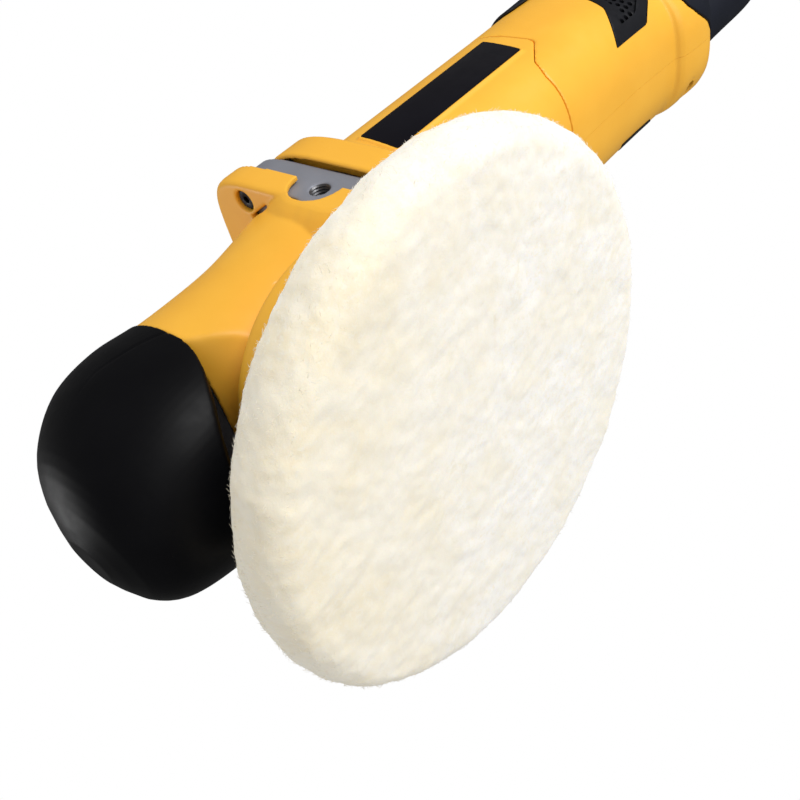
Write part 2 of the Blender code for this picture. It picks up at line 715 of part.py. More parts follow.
def make_bearing_plate():
    plate = body_loft([(-62, 37.5, 66.5, 141.5, 2.6), (-52.1, 37.5, 66.5, 141.5, 2.6)], "bearing_plate",
                      look="alloy")
    axis, lay = (0, 0, AXIS_Z / MM), (0, 0, LAYSHAFT_Z / MM)
    cut(plate, rod(11.3, -70, -54.2, "plate_motor_seat", at=axis, along="X", tool=True),
        rod(6.7, -70, -40, "plate_pinion_hole", at=axis, along="X", tool=True, steps=17),
        rod(6.5, -70, -40, "plate_lay_seat", at=lay, along="X", tool=True, steps=16))


def make_labels():
    for name, low, high in (("label_left", 20, 60), ("label_right", -60, -20)):
        plain = [(-60, 38.6, 65.4, 142.6, 2.8), (-190, 38.5, 65.5, 142.5, 2.8)]
        label = prism(LABEL, low, high, name, look="label")
        keep(label, body_loft(plain, f"{name}_outside", grow=1.1 * MM, tool=True))
        cut(label, body_loft(plain, f"{name}_inside", grow=0.3 * MM, tool=True))


# Rear housing and handle --------------------------------------------------------------------------------

def rear_stations(grow, trim=0.0):
    moved = [(x, half + grow, low - grow, high + grow, power) for x, half, low, high, power in REAR]
    moved[-1] = (REAR[-1][0] - grow, *moved[-1][1:])
    if trim:
        moved[0] = (REAR[0][0] + trim, *moved[0][1:])
    return moved


def make_handle_shell(name, side):
    shell = body_loft(rear_stations(0), name, look="yellow")
    join(shell, handle_loft(f"{name}_loop", tool=True))
    cut(shell, body_loft(rear_stations(-WALL / MM, 10), f"{name}_hollow", tool=True))
    for index, (spot, reach) in enumerate(zip(HANDLE_SCREWS, (17, 14))):
        join(shell, rod(5, -reach, reach, f"{name}_boss_{index + 1}", at=(spot[0], 0, spot[1]), along="Y",
                        steps=16, tool=True))
    ahead = [(x - 0.3, z) for x, z in SEAM] + [(-90, 40), (-90, 170)]
    low, high = (-80, 0.15) if side > 0 else (-0.15, 80)
    other_half = box((-420, low, 20), (-90, high, 200), f"{name}_half", tool=True)
    cut(shell, prism(ahead, -70, 70, f"{name}_front_trim", tool=True), other_half)
    reach = (15, 60) if side > 0 else (-60, -15)
    cut(shell, prism(widened(VENT, 0.3), *reach, f"{name}_vent_hole", tool=True))
    cut(shell, box((-338, -9.5, 131), (-284, 9.5, 151), f"{name}_switch_pocket", tool=True),
        box((-331, -6.6, 115), (-283.5, 6.6, 132), f"{name}_trigger_slot", tool=True),
        rod(13.8, -4.6, 4.6, f"{name}_dial_slot", at=DIAL, along="Y", tool=True),
        rod(2.3, -9.4, 9.4, f"{name}_trigger_pivot", at=TRIGGER_PIVOT, along="Y", steps=10, tool=True),
        rod(9.4, -384, -361, f"{name}_gland_seat", at=GLAND, along="X", steps=20, tool=True))
    if side > 0:
        cut(shell, rod(5.4, 5, 30, "lock_on_hole", at=LOCK_ON, along="Y", steps=16, tool=True))
    for index, (x, z) in enumerate(HANDLE_SCREWS):
        spot = (x, 0, z)
        cut(shell, rod(2, -60, 7, f"{name}_screw_hole_{index + 1}", at=spot, along="Y", steps=10, tool=True))
        if side < 0:
            cut(shell, rod(4, -60, -8.3, f"{name}_screw_head_{index + 1}", at=spot, along="Y", steps=12,
                           tool=True))


def widened(outline, grow):
    """An outline moved outwards by about a distance, from its middle."""
    middle_x = sum(x for x, _ in outline) / len(outline)
    middle_z = sum(z for _, z in outline) / len(outline)
    moved = []
    for x, z in outline:
        reach = math.hypot(x - middle_x, z - middle_z)
        moved.append((x + (x - middle_x) * grow / reach * 1.3, z + (z - middle_z) * grow / reach * 1.3))
    return moved


def make_overmoulds():
    cover = body_loft(rear_stations(1.5), "grip_overmould", look="rubber")
    join(cover, handle_loft("overmould_loop", grow=1.5 * MM, tool=True))
    keep(cover, prism(OVERMOULD, -70, 70, "overmould_limit", tool=True))
    cut(cover, body_loft(rear_stations(0.3), "overmould_inside_body", tool=True),
        handle_loft("overmould_inside_loop", grow=0.3 * MM, tool=True))
    cut(cover, rod(13.8, -4.6, 4.6, "overmould_dial_slot", at=DIAL, along="Y", tool=True),
        rod(9.4, -390, -361, "overmould_gland_hole", at=GLAND, along="X", steps=20, tool=True),
        rod(5.4, 5, 30, "overmould_lock_on_hole", at=LOCK_ON, along="Y", steps=16, tool=True))

    bar = handle_loft("lower_bar_sleeve", grow=2.2 * MM, first=8, look="rubber")
    cut(bar, handle_loft("sleeve_inside", grow=0.3 * MM, tool=True),
        box((-273.4, -40, 40), (-230, 40, 110), "sleeve_front_trim", tool=True),
        prism([(-352, 60), (-341, 60), (-341, 95), (-360, 95)], -40, 40, "sleeve_rear_trim", tool=True))


def make_vents():
    for name, low, high in (("vent_left", 15, 60), ("vent_right", -60, -15)):
        vent = prism(widened(VENT, -0.1), low, high, name, look="black")
        keep(vent, body_loft(rear_stations(0.4), f"{name}_outside", tool=True, count=26))
        cut(vent, body_loft(rear_stations(-2.6, -5), f"{name}_inside", tool=True, count=26))
        for index in range(5):
            z = 81.7 + 5.5 * index
            cut(vent, box((-243, low, z), (-221, high, z + 2.4), f"{name}_slot_{index + 1}", tool=True))


def make_controls():
    box((-336, -9.2, 138.5), (-290, 9.2, 150.6), "switch_module", "black")
    box((-262, -15, 82), (-212, 15, 98), "speed_board", "board")
    gland = [
        (0, -361.4), (9.1, -361.4), (9.1, -382), (7.2, -384), (5.8, -396), (3.8, -396), (3.8, -366), (0, -366),
    ]
    turned(gland, "cable_gland", "rubber", at=GLAND, along="X", steps=20)

    outline = [
        (-284, 130.8), (-284, 125), (-296, 119.5), (-312, 118), (-327, 121), (-329.5, 126), (-329.5, 130.8),
    ]
    trigger = prism(outline, -6, 6, "trigger", look="black")
    join(trigger, rod(2, -9, 9, "trigger_trunnions", at=TRIGGER_PIVOT, along="Y", steps=10, tool=True))
    set_origin(trigger, TRIGGER_PIVOT)

    rod(5, 12.7, 20.6, "lock_on_button", look="black", at=LOCK_ON, along="Y", steps=16)
    rod(13.2, -4.2, 4.2, "speed_dial", look="black", at=DIAL, along="Y", steps=24)


def make_handle_screws():
    for index, (x, z) in enumerate(HANDLE_SCREWS):
        profile = [(0, 6.5), (1.7, 6.5), (1.7, -8.6), (3.6, -8.6), (3.6, -11), (0, -11)]
        turned(profile, f"handle_screw_{index + 1}", "steel", at=(x, 0, z), along="Y", steps=10)


def main():
    make_pad()
    make_backing_plate()
    make_spindle()
    make_ring_gear()
    make_layshaft()
    make_armature()
    make_stator()
    make_brushes()
    make_bearings()
    make_gear_case()
    make_gear_cover()
    make_nose_boot()
    make_retainer()
    make_lock_button()
    make_flange_screws()
    make_motor_housing()
    make_bearing_plate()
    make_labels()
    make_handle_shell("handle_shell_left", 1)
    make_handle_shell("handle_shell_right", -1)
    make_overmoulds()
    make_vents()
    make_controls()
    make_handle_screws()


main()
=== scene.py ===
"""Looks of a rotary polisher: smooth moulded housings, a soft nose boot and a wool pad.

Lengths are in metres in the frame of the design: the origin is the centre of the pad's working face,
+X points to the nose, +Y to the tool's left and +Z up. Station tables are in millimetres.
"""

import json
import math
import random

import bmesh
import bpy
from mathutils import Matrix, Vector, noise


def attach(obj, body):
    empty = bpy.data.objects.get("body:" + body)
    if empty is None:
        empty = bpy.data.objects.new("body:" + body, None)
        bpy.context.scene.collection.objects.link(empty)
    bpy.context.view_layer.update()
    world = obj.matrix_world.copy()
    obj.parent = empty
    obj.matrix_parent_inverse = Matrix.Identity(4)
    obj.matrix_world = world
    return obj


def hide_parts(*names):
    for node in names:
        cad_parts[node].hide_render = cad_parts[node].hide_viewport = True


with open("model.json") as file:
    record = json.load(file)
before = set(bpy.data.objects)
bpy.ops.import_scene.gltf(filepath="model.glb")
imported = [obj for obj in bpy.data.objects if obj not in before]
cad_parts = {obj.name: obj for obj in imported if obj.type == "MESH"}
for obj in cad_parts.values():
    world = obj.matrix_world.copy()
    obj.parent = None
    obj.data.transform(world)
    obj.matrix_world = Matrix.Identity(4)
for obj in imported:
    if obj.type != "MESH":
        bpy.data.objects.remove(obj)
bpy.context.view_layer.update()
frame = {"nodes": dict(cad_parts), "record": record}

random.seed(7)

MM = 0.001
TAU = 2 * math.pi
AROUND = 96  # points round a loft's section and round a turned piece
LOFT_STEP = 2.5  # distance between a smooth loft's sections
AXIS_Z = 104  # height of the motor's axis
BEYOND = 60  # a distance from the middle plane past the sides of the body
ACROSS = (-70, 70)  # a reach through the whole body along Y
WOOL_LOCKS = 11000  # loose locks of wool on the pad

# Stations along the body: x, half width, lowest z, highest z, squareness of the section.
FLANGE = [
    (-51.5, 44.5, 54.5, 155, 6.3), (-32, 44.5, 54.5, 155, 6.3), (-29.7, 44.3, 54.7, 154.8, 6.2),
    (-28.5, 43.8, 55.2, 154.3, 6.1), (-27.8, 42.9, 56.1, 153.4, 6),
]
NECK = [
    (-34, 41, 60, 143.5, 2.1), (-25.5, 40.6, 60, 142.3, 2.08), (-12, 40.1, 60, 138.8, 2.06),
    (10, 38.7, 59, 135, 2.05), (40, 38.7, 52, 136.5, 2.05), (60, 40, 48, 139, 2.05),
    (78, 37.2, 48, 136, 2.05), (94, 29.2, 50.5, 123.5, 2.05), (103, 18.8, 58, 107, 2.05),
    (107.5, 7.5, 71, 90, 2),
]
COLLAR = [
    (-52, 44.3, 59.5, 149.3, 3.9), (-52.9, 45, 58.8, 150, 3.9), (-66.5, 45, 58.8, 150, 3.9),
    (-68, 44.2, 59.6, 149.2, 3.7), (-73.5, 38.6, 65.4, 142.6, 2.8),
]
BARREL = [(-56, 38.6, 65.4, 142.6, 2.8), (-190, 38.5, 65.5, 142.5, 2.8)]
REAR_FRONT = [(-150, 38.5, 65.5, 142.5, 2.8), (-205, 38.5, 65.5, 143, 2.8), (-243, 37.6, 63, 147, 2.8)]
REAR_BLOCK = [
    (-243, 37.6, 63, 147, 2.8), (-244.6, 37.5, 61, 147.2, 2.8), (-247, 37.4, 59.7, 147.5, 2.8),
    (-250, 37.2, 59.1, 148, 2.8), (-255, 36.9, 58.6, 148.7, 2.8), (-261, 36.3, 58.1, 149.5, 2.9),
    (-266, 35.6, 57.8, 150, 3), (-270, 34.4, 58.3, 149.7, 3.05), (-272.5, 32.6, 59.6, 148.4, 3.1),
]

# Stations round the handle's loop: x and z of its centre line, half width and half thickness.
HANDLE = [
    (-240, 128, 19, 17), (-262, 138, 18.5, 16.5), (-290, 143, 17.5, 16), (-320, 143, 17, 15.5),
    (-346, 137, 16, 14.5), (-364, 123, 15, 13), (-366, 106, 14, 12), (-357, 90, 12.5, 11),
    (-342, 76.5, 11, 10), (-322, 73.5, 10.5, 10), (-290, 73.5, 10.5, 10), (-255, 73.5, 10.5, 10),
]

# Edges and outlines on the flanks, as (x, z).
BOOT_EDGE = [
    (44.2, 170), (44.2, 92), (44.4, 85), (45.8, 79.6), (48.4, 73.8), (51.8, 68.7), (55.5, 63.3), (60.8, 57),
    (68, 48.5), (74, 38), (77, 20),
]
SEAM = [(-173, 170), (-173, 94), (-158.5, 84.6), (-154.5, 77), (-154.5, 40)]
VENT = [
    (-200.5, 68.8), (-225, 68.3), (-236.5, 73.6), (-247, 84), (-250, 113), (-217, 113), (-216.3, 93),
    (-213.5, 82.5),
]
LABEL = [(-79.5, 116.3), (-165.5, 116.3), (-162.5, 93.7), (-76.5, 93.7)]
OVERMOULD = [
    (-200, 170), (-200, 127), (-214, 124), (-250, 127), (-276, 138), (-330, 140), (-344, 132),
    (-352, 118), (-348, 92), (-351, 83), (-372, 70), (-400, 70), (-400, 170),
]
# The parting crease of the boot's left flank, as (x, y, z).
CREASE = [
    (41, 38.6, 93), (43.5, 38.8, 94.4), (47.5, 39.1, 96.3), (51.6, 39.3, 97.6), (59.1, 39.6, 99.1),
    (68.3, 38, 101.9), (79, 35.9, 101), (86, 33, 99.5),
]
# The rubber patch round the lower bar's root, as (x, y) seen from below.
ROOT = [
    (-285, 36), (-250.5, 36), (-251.5, 26), (-254.2, 20.8), (-260, 14.5), (-267, 8.2), (-270, 3), (-271, -4),
    (-285, -4),
]

# Places of the smaller features on their axes, as (x, y, z), and the radii of their holes.
BOSS = (-39.5, 0, 101)
BOSS_RADIUS = 9.4
NOTCH_RADIUS = 11.8
THREAD_HOLE = 4.1
LOCK_BUTTON = (13.3, 0, 0)
LOCK_HOLE = 8.1
PIN = (6, 0, 81)
PIN_HOLE = 1.4
DIAL = (-236, 0, 138)
DIAL_SLOT = 13.8
LOCK_ON = (-306, 0, 142)
LOCK_ON_HOLE = 5.4
GLAND = (0, 0, 103)
GLAND_HOLE = 9.4
TRIGGER_PIVOT = (-287, 0, 131.5)

# Screws: those of the flange run along X at (y, z), those of the handle along Y at (x, z).
FLANGE_SCREWS = [(y, AXIS_Z + z) for y in (-36, 36) for z in (-30, 30)]
SHANK_HOLE = 2.3
HEAD_HOLE = 4.6
HANDLE_SCREWS = [(-214, 135), (-256, 64.5), (-344, 134), (-350, 84)]

# Walls, and how far a skin stands inside or outside the neck's stations.
COVER_WALL = 2.4
CASE_INSET = 3.6
CHAMBER_INSET = 7
BOOT_OUT = 0.6
BOOT_IN = 2.5
SKIRT_TOP = 86
VENT_DEEP = 24


# Mesh building ------------------------------------------------------------------------------------------

def add_object(name, shape):
    """Turns a bmesh into an object in the scene."""
    bmesh.ops.recalc_face_normals(shape, faces=shape.faces)
    mesh = bpy.data.meshes.new(name)
    shape.to_mesh(mesh)
    shape.free()
    thing = bpy.data.objects.new(name, mesh)
    bpy.context.scene.collection.objects.link(thing)
    return thing


def eased(stations, step=LOFT_STEP):
    """Stations with a smooth curve run through them, closer together along X."""
    rows = [stations[0]]
    for index in range(len(stations) - 1):
        four = [stations[max(0, min(len(stations) - 1, index + shift))] for shift in (-1, 0, 1, 2)]
        count = max(1, round(abs(four[2][0] - four[1][0]) / step))
        for part in range(1, count + 1):
            u = part / count
            row = []
            for a, b, c, d in zip(*four):
                row.append(0.5 * (2 * b + (c - a) * u + (2 * a - 5 * b + 4 * c - d) * u * u
                                  + (3 * b - a - 3 * c + d) * u ** 3))
            rows.append(tuple(row))
    return rows


def oval(half_width, half_height, power, count):
    """Points of a superellipse about the origin."""
    points = []
    for step in range(count):
        turn = TAU * (step + 0.5) / count
        cosine, sine = math.cos(turn), math.sin(turn)
        points.append((math.copysign(abs(cosine) ** (2 / power), cosine) * half_width,
                       math.copysign(abs(sine) ** (2 / power), sine) * half_height))
    return points


def skin(name, rings):
    """A closed solid through rings of points in millimetres."""
    shape = bmesh.new()
    loops = [[shape.verts.new(Vector(point) * MM) for point in ring] for ring in rings]
    for first, second in zip(loops, loops[1:]):
        for step in range(len(first)):
            after = (step + 1) % len(first)
            shape.faces.new((first[step], first[after], second[after], second[step]))
    shape.faces.new(loops[0])
    shape.faces.new(loops[-1])
    return add_object(name, shape)


def body(name, stations, grow=0.0, smooth=True, count=AROUND):
    """A loft of superellipses through stations along X."""
    rows = eased(stations) if smooth else stations
    rings = []
    for x, half, low, high, power in rows:
        middle, tall = (low + high) / 2, (high - low) / 2 + grow
        rings.append([(x, y, middle + z) for y, z in oval(max(half + grow, 0.8), tall, power, count)])
    return skin(name, rings)


def nose_grown(stations, grow):
    """The neck's stations grown by a distance, with the round nose moved out by the same."""
    moved = []
    for x, half, low, high, power in stations:
        shift = grow * max(0.0, (x - 60) / 47.5) ** 1.5
        moved.append((x + shift, max(half + grow, 1.0), low - grow, high + grow, power))
    return moved


def handle(name, grow=0.0, first=0, count=48):
    """The handle's bar, swept along a smooth curve through its centre line."""
    line = eased(HANDLE[first:], 3.0)
    fine = [line[0]]
    for row in line[1:]:
        if math.hypot(row[0] - fine[-1][0], row[1] - fine[-1][1]) > 0.6:
            fine.append(row)
    rings = []
    for index, (x, z, half, thick) in enumerate(fine):
        before, after = fine[max(index - 1, 0)], fine[min(index + 1, len(fine) - 1)]
        run = Vector((after[0] - before[0], 0, after[1] - before[1])).normalized()
        outward = Vector((run.z, 0, -run.x))
        ring = []
        for across, rise in oval(half + grow, thick + grow, 2.4, count):
            ring.append(Vector((x, 0, z)) + Vector((0, across, 0)) + outward * rise)
        rings.append(ring)
    return skin(name, rings)


AXES = {
    "Z": Matrix(),
    "X": Matrix.Rotation(math.pi / 2, 4, "Y"),
    "Y": Matrix.Rotation(-math.pi / 2, 4, "X"),
}


def turned(name, profile, at=(0, 0, 0), along="Z", steps=AROUND):
    """A turned solid from (radius, height) points; a ring's profile repeats its first point."""
    closed = profile[0] == profile[-1]
    rows = profile[:-1] if closed else profile
    frame_of = Matrix.Translation(Vector(at) * MM) @ AXES[along]
    shape = bmesh.new()
    turns = [TAU * (step + 0.13) / steps for step in range(steps)]
    loops = []
    for radius, height in rows:
        if radius == 0:
            loops.append([shape.verts.new(frame_of @ Vector((0, 0, height * MM)))])
            continue
        wide = radius * MM
        loops.append([
            shape.verts.new(frame_of @ Vector((wide * math.cos(turn), wide * math.sin(turn), height * MM)))
            for turn in turns
        ])
    pairs = list(zip(loops, loops[1:])) + ([(loops[-1], loops[0])] if closed else [])
    for first, second in pairs:
        for step in range(steps):
            after = (step + 1) % steps
            corners = [first[step % len(first)], first[after % len(first)],
                       second[after % len(second)], second[step % len(second)]]
            unique = list(dict.fromkeys(corners))
            if len(unique) > 2:
                shape.faces.new(unique)
    return add_object(name, shape)


def rod(name, radius, low, high, steps=40, **where):
    """A cylinder between two heights along its axis."""
    return turned(name, [(0, high), (radius, high), (radius, low), (0, low)], steps=steps, **where)


def prism(name, outline, low, high):
    """An (x, z) outline in millimetres, extruded along Y."""
    shape = bmesh.new()
    floor = [shape.verts.new(Vector((x, low, z)) * MM) for x, z in outline]
    roof = [shape.verts.new(Vector((x, high, z)) * MM) for x, z in outline]
    shape.faces.new(floor)
    shape.faces.new(roof)
    for step in range(len(outline)):
        after = (step + 1) % len(outline)
        shape.faces.new((floor[step], floor[after], roof[after], roof[step]))
    return add_object(name, shape)


def block(name, low, high, turn=Matrix()):
    """A box between two corners in millimetres, turned about its middle."""
    shape = bmesh.new()
    bmesh.ops.create_cube(shape, size=1)
    middle = (Vector(low) + Vector(high)) * MM / 2
    size = (Vector(high) - Vector(low)) * MM
    place = Matrix.Translation(middle) @ turn @ Matrix.Diagonal((*size, 1))
    bmesh.ops.transform(shape, matrix=place, verts=shape.verts)
    return add_object(name, shape)


def outwards(side, near):
    """The reach along Y of a tool for one flank, from a distance off the middle plane to past the body."""
    return sorted((side * near, side * BEYOND))


def rounded_outline(outline, radius, steps=6):
    """An outline whose corners are replaced by smooth turns."""
    points = []
    for index, corner in enumerate(outline):
        here = Vector(corner)
        before = Vector(outline[index - 1])
        after = Vector(outline[(index + 1) % len(outline)])
        start = here + (before - here).normalized() * min(radius, (before - here).length * 0.45)
        end = here + (after - here).normalized() * min(radius, (after - here).length * 0.45)
        for step in range(steps + 1):
            u = step / steps
            points.append(tuple(start * (1 - u) ** 2 + here * 2 * u * (1 - u) + end * u * u))
    return points


def offset(outline, grow):
    """An outline with every side moved outwards by a distance."""
    area = sum(a[0] * b[1] - b[0] * a[1] for a, b in zip(outline, outline[1:] + outline[:1]))
    sense = 1 if area > 0 else -1
    moved = []
    for index, corner in enumerate(outline):
        here = Vector(corner)
        into = (here - Vector(outline[index - 1])).normalized()
        out_of = (Vector(outline[(index + 1) % len(outline)]) - here).normalized()
        first = Vector((into.y, -into.x)) * sense
        second = Vector((out_of.y, -out_of.x)) * sense
        moved.append(tuple(here + (first + second) * grow / (1 + first.dot(second))))
    return moved


def solid(thing, operation, tools):
    """Applies one Boolean for each tool in turn and deletes the tools."""
    for tool in tools:
        step = thing.modifiers.new(operation, "BOOLEAN")
        step.operation = operation
        step.object = tool
        step.solver = "MANIFOLD"
    applied(thing)
    for tool in tools:
        bpy.data.objects.remove(tool)
    return thing


def applied(thing):
    """Bakes an object's modifiers into its mesh."""
    graph = bpy.context.evaluated_depsgraph_get()
    mesh = bpy.data.meshes.new_from_object(thing.evaluated_get(graph))
    thing.modifiers.clear()
    thing.data = mesh
    return thing


def softened(thing, voxel, rounds, keep=1.0):
    """Rounds every edge the way a mould does: an even skin of small faces, smoothed, then thinned out."""
    skinned = thing.modifiers.new("skin", "REMESH")
    skinned.mode = "VOXEL"
    skinned.voxel_size = voxel * MM
    smooth = thing.modifiers.new("smooth", "SMOOTH")
    smooth.factor = 0.5
    smooth.iterations = rounds
    if keep < 1:
        thin = thing.modifiers.new("thin", "DECIMATE")
        thin.ratio = keep
    applied(thing)
    thing.data.shade_smooth()
    return thing


def shaded(thing, angle=35):
    """Smooth shading with sharp edges above an angle."""
    thing.data.shade_smooth()
    thing.data.set_sharp_from_angle(angle=math.radians(angle))
    return thing


def bevelled(thing, width, segments=3, angle=30):
    """Rounds the edges above an angle."""
    edge = thing.modifiers.new("bevel", "BEVEL")
    edge.width = width * MM
    edge.segments = segments
    edge.limit_method = "ANGLE"
    edge.angle_limit = math.radians(angle)
    applied(thing)
    return shaded(thing)


def show(thing, body_name, slot_name, *nodes):
    """Gives a piece its body, its material and the design nodes that it stands for."""
    thing.data.materials.clear()
    thing.data.materials.append(LOOKS[slot_name])
    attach(thing, body_name)
    if nodes:
        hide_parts(*nodes)
    return thing


# Materials ----------------------------------------------------------------------------------------------

class Look:
    """A material under construction, with its nodes added from left to right."""

    def __init__(self, name, roughness=0.5, metallic=0.0, **sockets):
        self.material = bpy.data.materials.new(name)
        self.material.use_nodes = True
        self.tree = self.material.node_tree
        self.shader = self.tree.nodes["Principled BSDF"]
        self.shader.inputs["Roughness"].default_value = roughness
        self.shader.inputs["Metallic"].default_value = metallic
        for socket, value in sockets.items():
            self.shader.inputs[socket.replace("_", " ")].default_value = value
        self.place = self.tree.nodes.new("ShaderNodeTexCoord").outputs["Object"]

    def noise(self, size, detail=4.0, rough=0.55, distortion=0.0):
        """Cloudy noise whose features are about a size in millimetres."""
        node = self.tree.nodes.new("ShaderNodeTexNoise")
        node.inputs["Scale"].default_value = 1 / (size * MM)
        node.inputs["Detail"].default_value = detail
        node.inputs["Roughness"].default_value = rough
        node.inputs["Distortion"].default_value = distortion
        self.tree.links.new(self.place, node.inputs["Vector"])
        return node.outputs["Fac"]

    def along(self, direction):
        """How far a point lies along a direction, in metres times the direction's length."""
        node = self.tree.nodes.new("ShaderNodeVectorMath")
        node.operation = "DOT_PRODUCT"
        node.inputs[1].default_value = direction
        self.tree.links.new(self.place, node.inputs[0])
        return node.outputs["Value"]

    def span(self, value, low, high, new_low=0.0, new_high=1.0):
        """Maps a range of values onto another."""
        node = self.tree.nodes.new("ShaderNodeMapRange")
        ranges = {"From Min": low, "From Max": high, "To Min": new_low, "To Max": new_high}
        for socket, number in ranges.items():
            node.inputs[socket].default_value = number
        self.tree.links.new(value, node.inputs["Value"])
        return node.outputs["Result"]

    def mix(self, factor, first, second):
        """Mixes two colours, given as numbers or as an output."""
        node = self.tree.nodes.new("ShaderNodeMix")
        node.data_type = "RGBA"
        self.tree.links.new(factor, node.inputs["Factor"])
        for socket, value in (("A", first), ("B", second)):
            target = [s for s in node.inputs if s.name == socket and s.type == "RGBA"][0]
            if isinstance(value, tuple):
                target.default_value = (*value, 1.0)
            else:
                self.tree.links.new(value, target)
        return [s for s in node.outputs if s.type == "RGBA"][0]

    def colour(self, value):
        self.tree.links.new(value, self.shader.inputs["Base Color"])
        return self

    def rough(self, value):
        self.tree.links.new(value, self.shader.inputs["Roughness"])
        return self

    def bump(self, height, depth):
        """Relief of a depth in millimetres; more than one call stacks."""
        node = self.tree.nodes.new("ShaderNodeBump")
        node.inputs["Distance"].default_value = depth * MM
        node.inputs["Strength"].default_value = 1.0
        self.tree.links.new(height, node.inputs["Height"])
        previous = self.shader.inputs["Normal"].links
        if previous:
            self.tree.links.new(previous[0].from_socket, node.inputs["Normal"])
        self.tree.links.new(node.outputs["Normal"], self.shader.inputs["Normal"])
        return self


LOOKS = {}  # each slot's material


def moulded(name, light, dark, low, high, grain=0.35, depth=0.012, **sockets):
    """Injection-moulded plastic: faint colour drift, spark-eroded grain and slightly uneven gloss."""
    look = Look(name, **sockets)
    look.colour(look.mix(look.span(look.noise(28, 3), 0.35, 0.65), light, dark))
    look.rough(look.span(look.noise(6, 5), 0.3, 0.7, low, high))
    look.bump(look.noise(grain, 2), depth)
    LOOKS[name] = look.material


def metal(name, light, dark, low, high, size=0.8, depth=0.01):
    """Bare metal with faint colour drift and machining marks of a size in millimetres."""
    look = Look(name, metallic=1.0)
    look.colour(look.mix(look.span(look.noise(size * 6, 4), 0.35, 0.65), light, dark))
    look.rough(look.span(look.noise(size * 3, 5), 0.3, 0.7, low, high))
    look.bump(look.noise(size, 3), depth)
    LOOKS[name] = look.material


def wool(name):
    """Cut wool: white to cream, creamier towards the nose side as a painted shade, with darker cream patches
    painted as the shade of tufts, matted clumps and fine fibre relief.
    """
    look = Look(name, roughness=0.95, Sheen_Weight=0.35, Sheen_Roughness=0.6, Subsurface_Weight=0.25,
                Subsurface_Scale=0.004, Specular_IOR_Level=0.15)
    look.shader.inputs["Subsurface Radius"].default_value = (1.0, 0.85, 0.6)
    clouds = look.span(look.noise(24, 5, 0.65, 0.5), 0.42, 0.64)
    white = look.mix(clouds, (0.93, 0.90, 0.84), (0.90, 0.845, 0.71))
    cream = look.mix(clouds, (0.91, 0.84, 0.68), (0.86, 0.765, 0.56))
    # Creamier and a little darker towards the nose side: painted shade for the pad's shaded side.
    painted_side_shade = look.mix(look.span(look.along((10, 3.4, 0)), -0.1, 0.9), white, cream)
    # Darker cream patches about 12 mm across: painted shade of tufts and creases in the pile.
    painted_tuft_shade = look.mix(look.span(look.noise(12, 5, 0.7, 1.0), 0.58, 0.74), painted_side_shade, (0.83, 0.77, 0.61))
    look.colour(look.mix(look.span(look.noise(1.8, 3, 0.65), 0.3, 0.5), (0.89, 0.83, 0.69), painted_tuft_shade))
    look.bump(look.noise(4.5, 6, 0.65), 0.14)
    look.bump(look.noise(0.6, 3, 0.7), 0.08)
    LOOKS[name] = look.material


moulded("yellow_plastic", (0.97, 0.50, 0.045), (0.94, 0.47, 0.038), 0.34, 0.44, Specular_IOR_Level=0.45)
moulded("boot_rubber", (0.0042, 0.0042, 0.0052), (0.0032, 0.0032, 0.004), 0.38, 0.46, 0.3, 0.008,
        Specular_IOR_Level=0.12)
moulded("grip_rubber", (0.012, 0.0145, 0.024), (0.009, 0.011, 0.018), 0.5, 0.62, 0.5, 0.03,
        Specular_IOR_Level=0.2)
moulded("black_plastic", (0.0115, 0.012, 0.0155), (0.008, 0.0083, 0.011), 0.38, 0.5, 0.4, 0.02,
        Specular_IOR_Level=0.22)
moulded("plate_rubber", (0.03, 0.03, 0.032), (0.02, 0.02, 0.02), 0.6, 0.75, 0.6, 0.03)
moulded("label_film", (0.0065, 0.006, 0.0095), (0.0055, 0.005, 0.008), 0.3, 0.4, 0.25, 0.004,
        Specular_IOR_Level=0.14)
moulded("cast_alloy", (0.31, 0.32, 0.365), (0.265, 0.275, 0.315), 0.5, 0.6, 0.6, 0.02, metallic=0.3)
metal("steel", (0.58, 0.58, 0.6), (0.48, 0.48, 0.5), 0.22, 0.36)
metal("bearing_steel", (0.68, 0.68, 0.7), (0.58, 0.58, 0.6), 0.14, 0.24)
metal("screw_steel", (0.03, 0.03, 0.033), (0.02, 0.02, 0.022), 0.32, 0.42)
metal("lamination_steel", (0.30, 0.30, 0.31), (0.22, 0.22, 0.23), 0.4, 0.55, 0.5, 0.03)
metal("copper", (0.72, 0.33, 0.16), (0.55, 0.23, 0.1), 0.25, 0.42, 0.7, 0.06)
metal("brass", (0.80, 0.60, 0.26), (0.68, 0.48, 0.18), 0.24, 0.36)
moulded("carbon", (0.035, 0.035, 0.036), (0.02, 0.02, 0.02), 0.6, 0.75, 0.25, 0.02)
moulded("circuit_board", (0.05, 0.22, 0.09), (0.035, 0.16, 0.07), 0.35, 0.5, 0.8, 0.02)
wool("wool")


# Gear head ----------------------------------------------------------------------------------------------

def skirt(name, grow, floor):
    """The round skirt above the pad; each row says how far its height follows a change of the wall."""
    side = [(33, SKIRT_TOP, 0), (34.8, 77, 0), (36, 72, 0.2), (38.5, 69, 0.6), (42, 67.7, 0.9), (46, 67.9, 1),
            (48.4, 68, 1), (50, 67.1, 0.8), (50.4, 65.6, 0.4)]
    profile = [(radius + grow, height + grow * rise) for radius, height, rise in side]
    rim = side[-1][0] + grow
    return turned(name, [(0, SKIRT_TOP), *profile, (rim, floor), (0, floor)])


def waist(name, inward):
    """A ring that hollows the neck's underside above the skirt, moved inwards by a wall's thickness."""
    curve = [(61.5, 94), (59.5, 89.5), (55.5, 85), (50.5, 80.5), (46, 76.5), (43, 73), (41.3, 70),
             (40.5, 67), (40.5, 30)]
    lift = inward * 0.5
    inner = [(radius - inward * 0.8, height + lift) for radius, height in curve]
    return turned(name, [*inner, (85, 30 + lift), (85, 94 + lift), inner[0]])


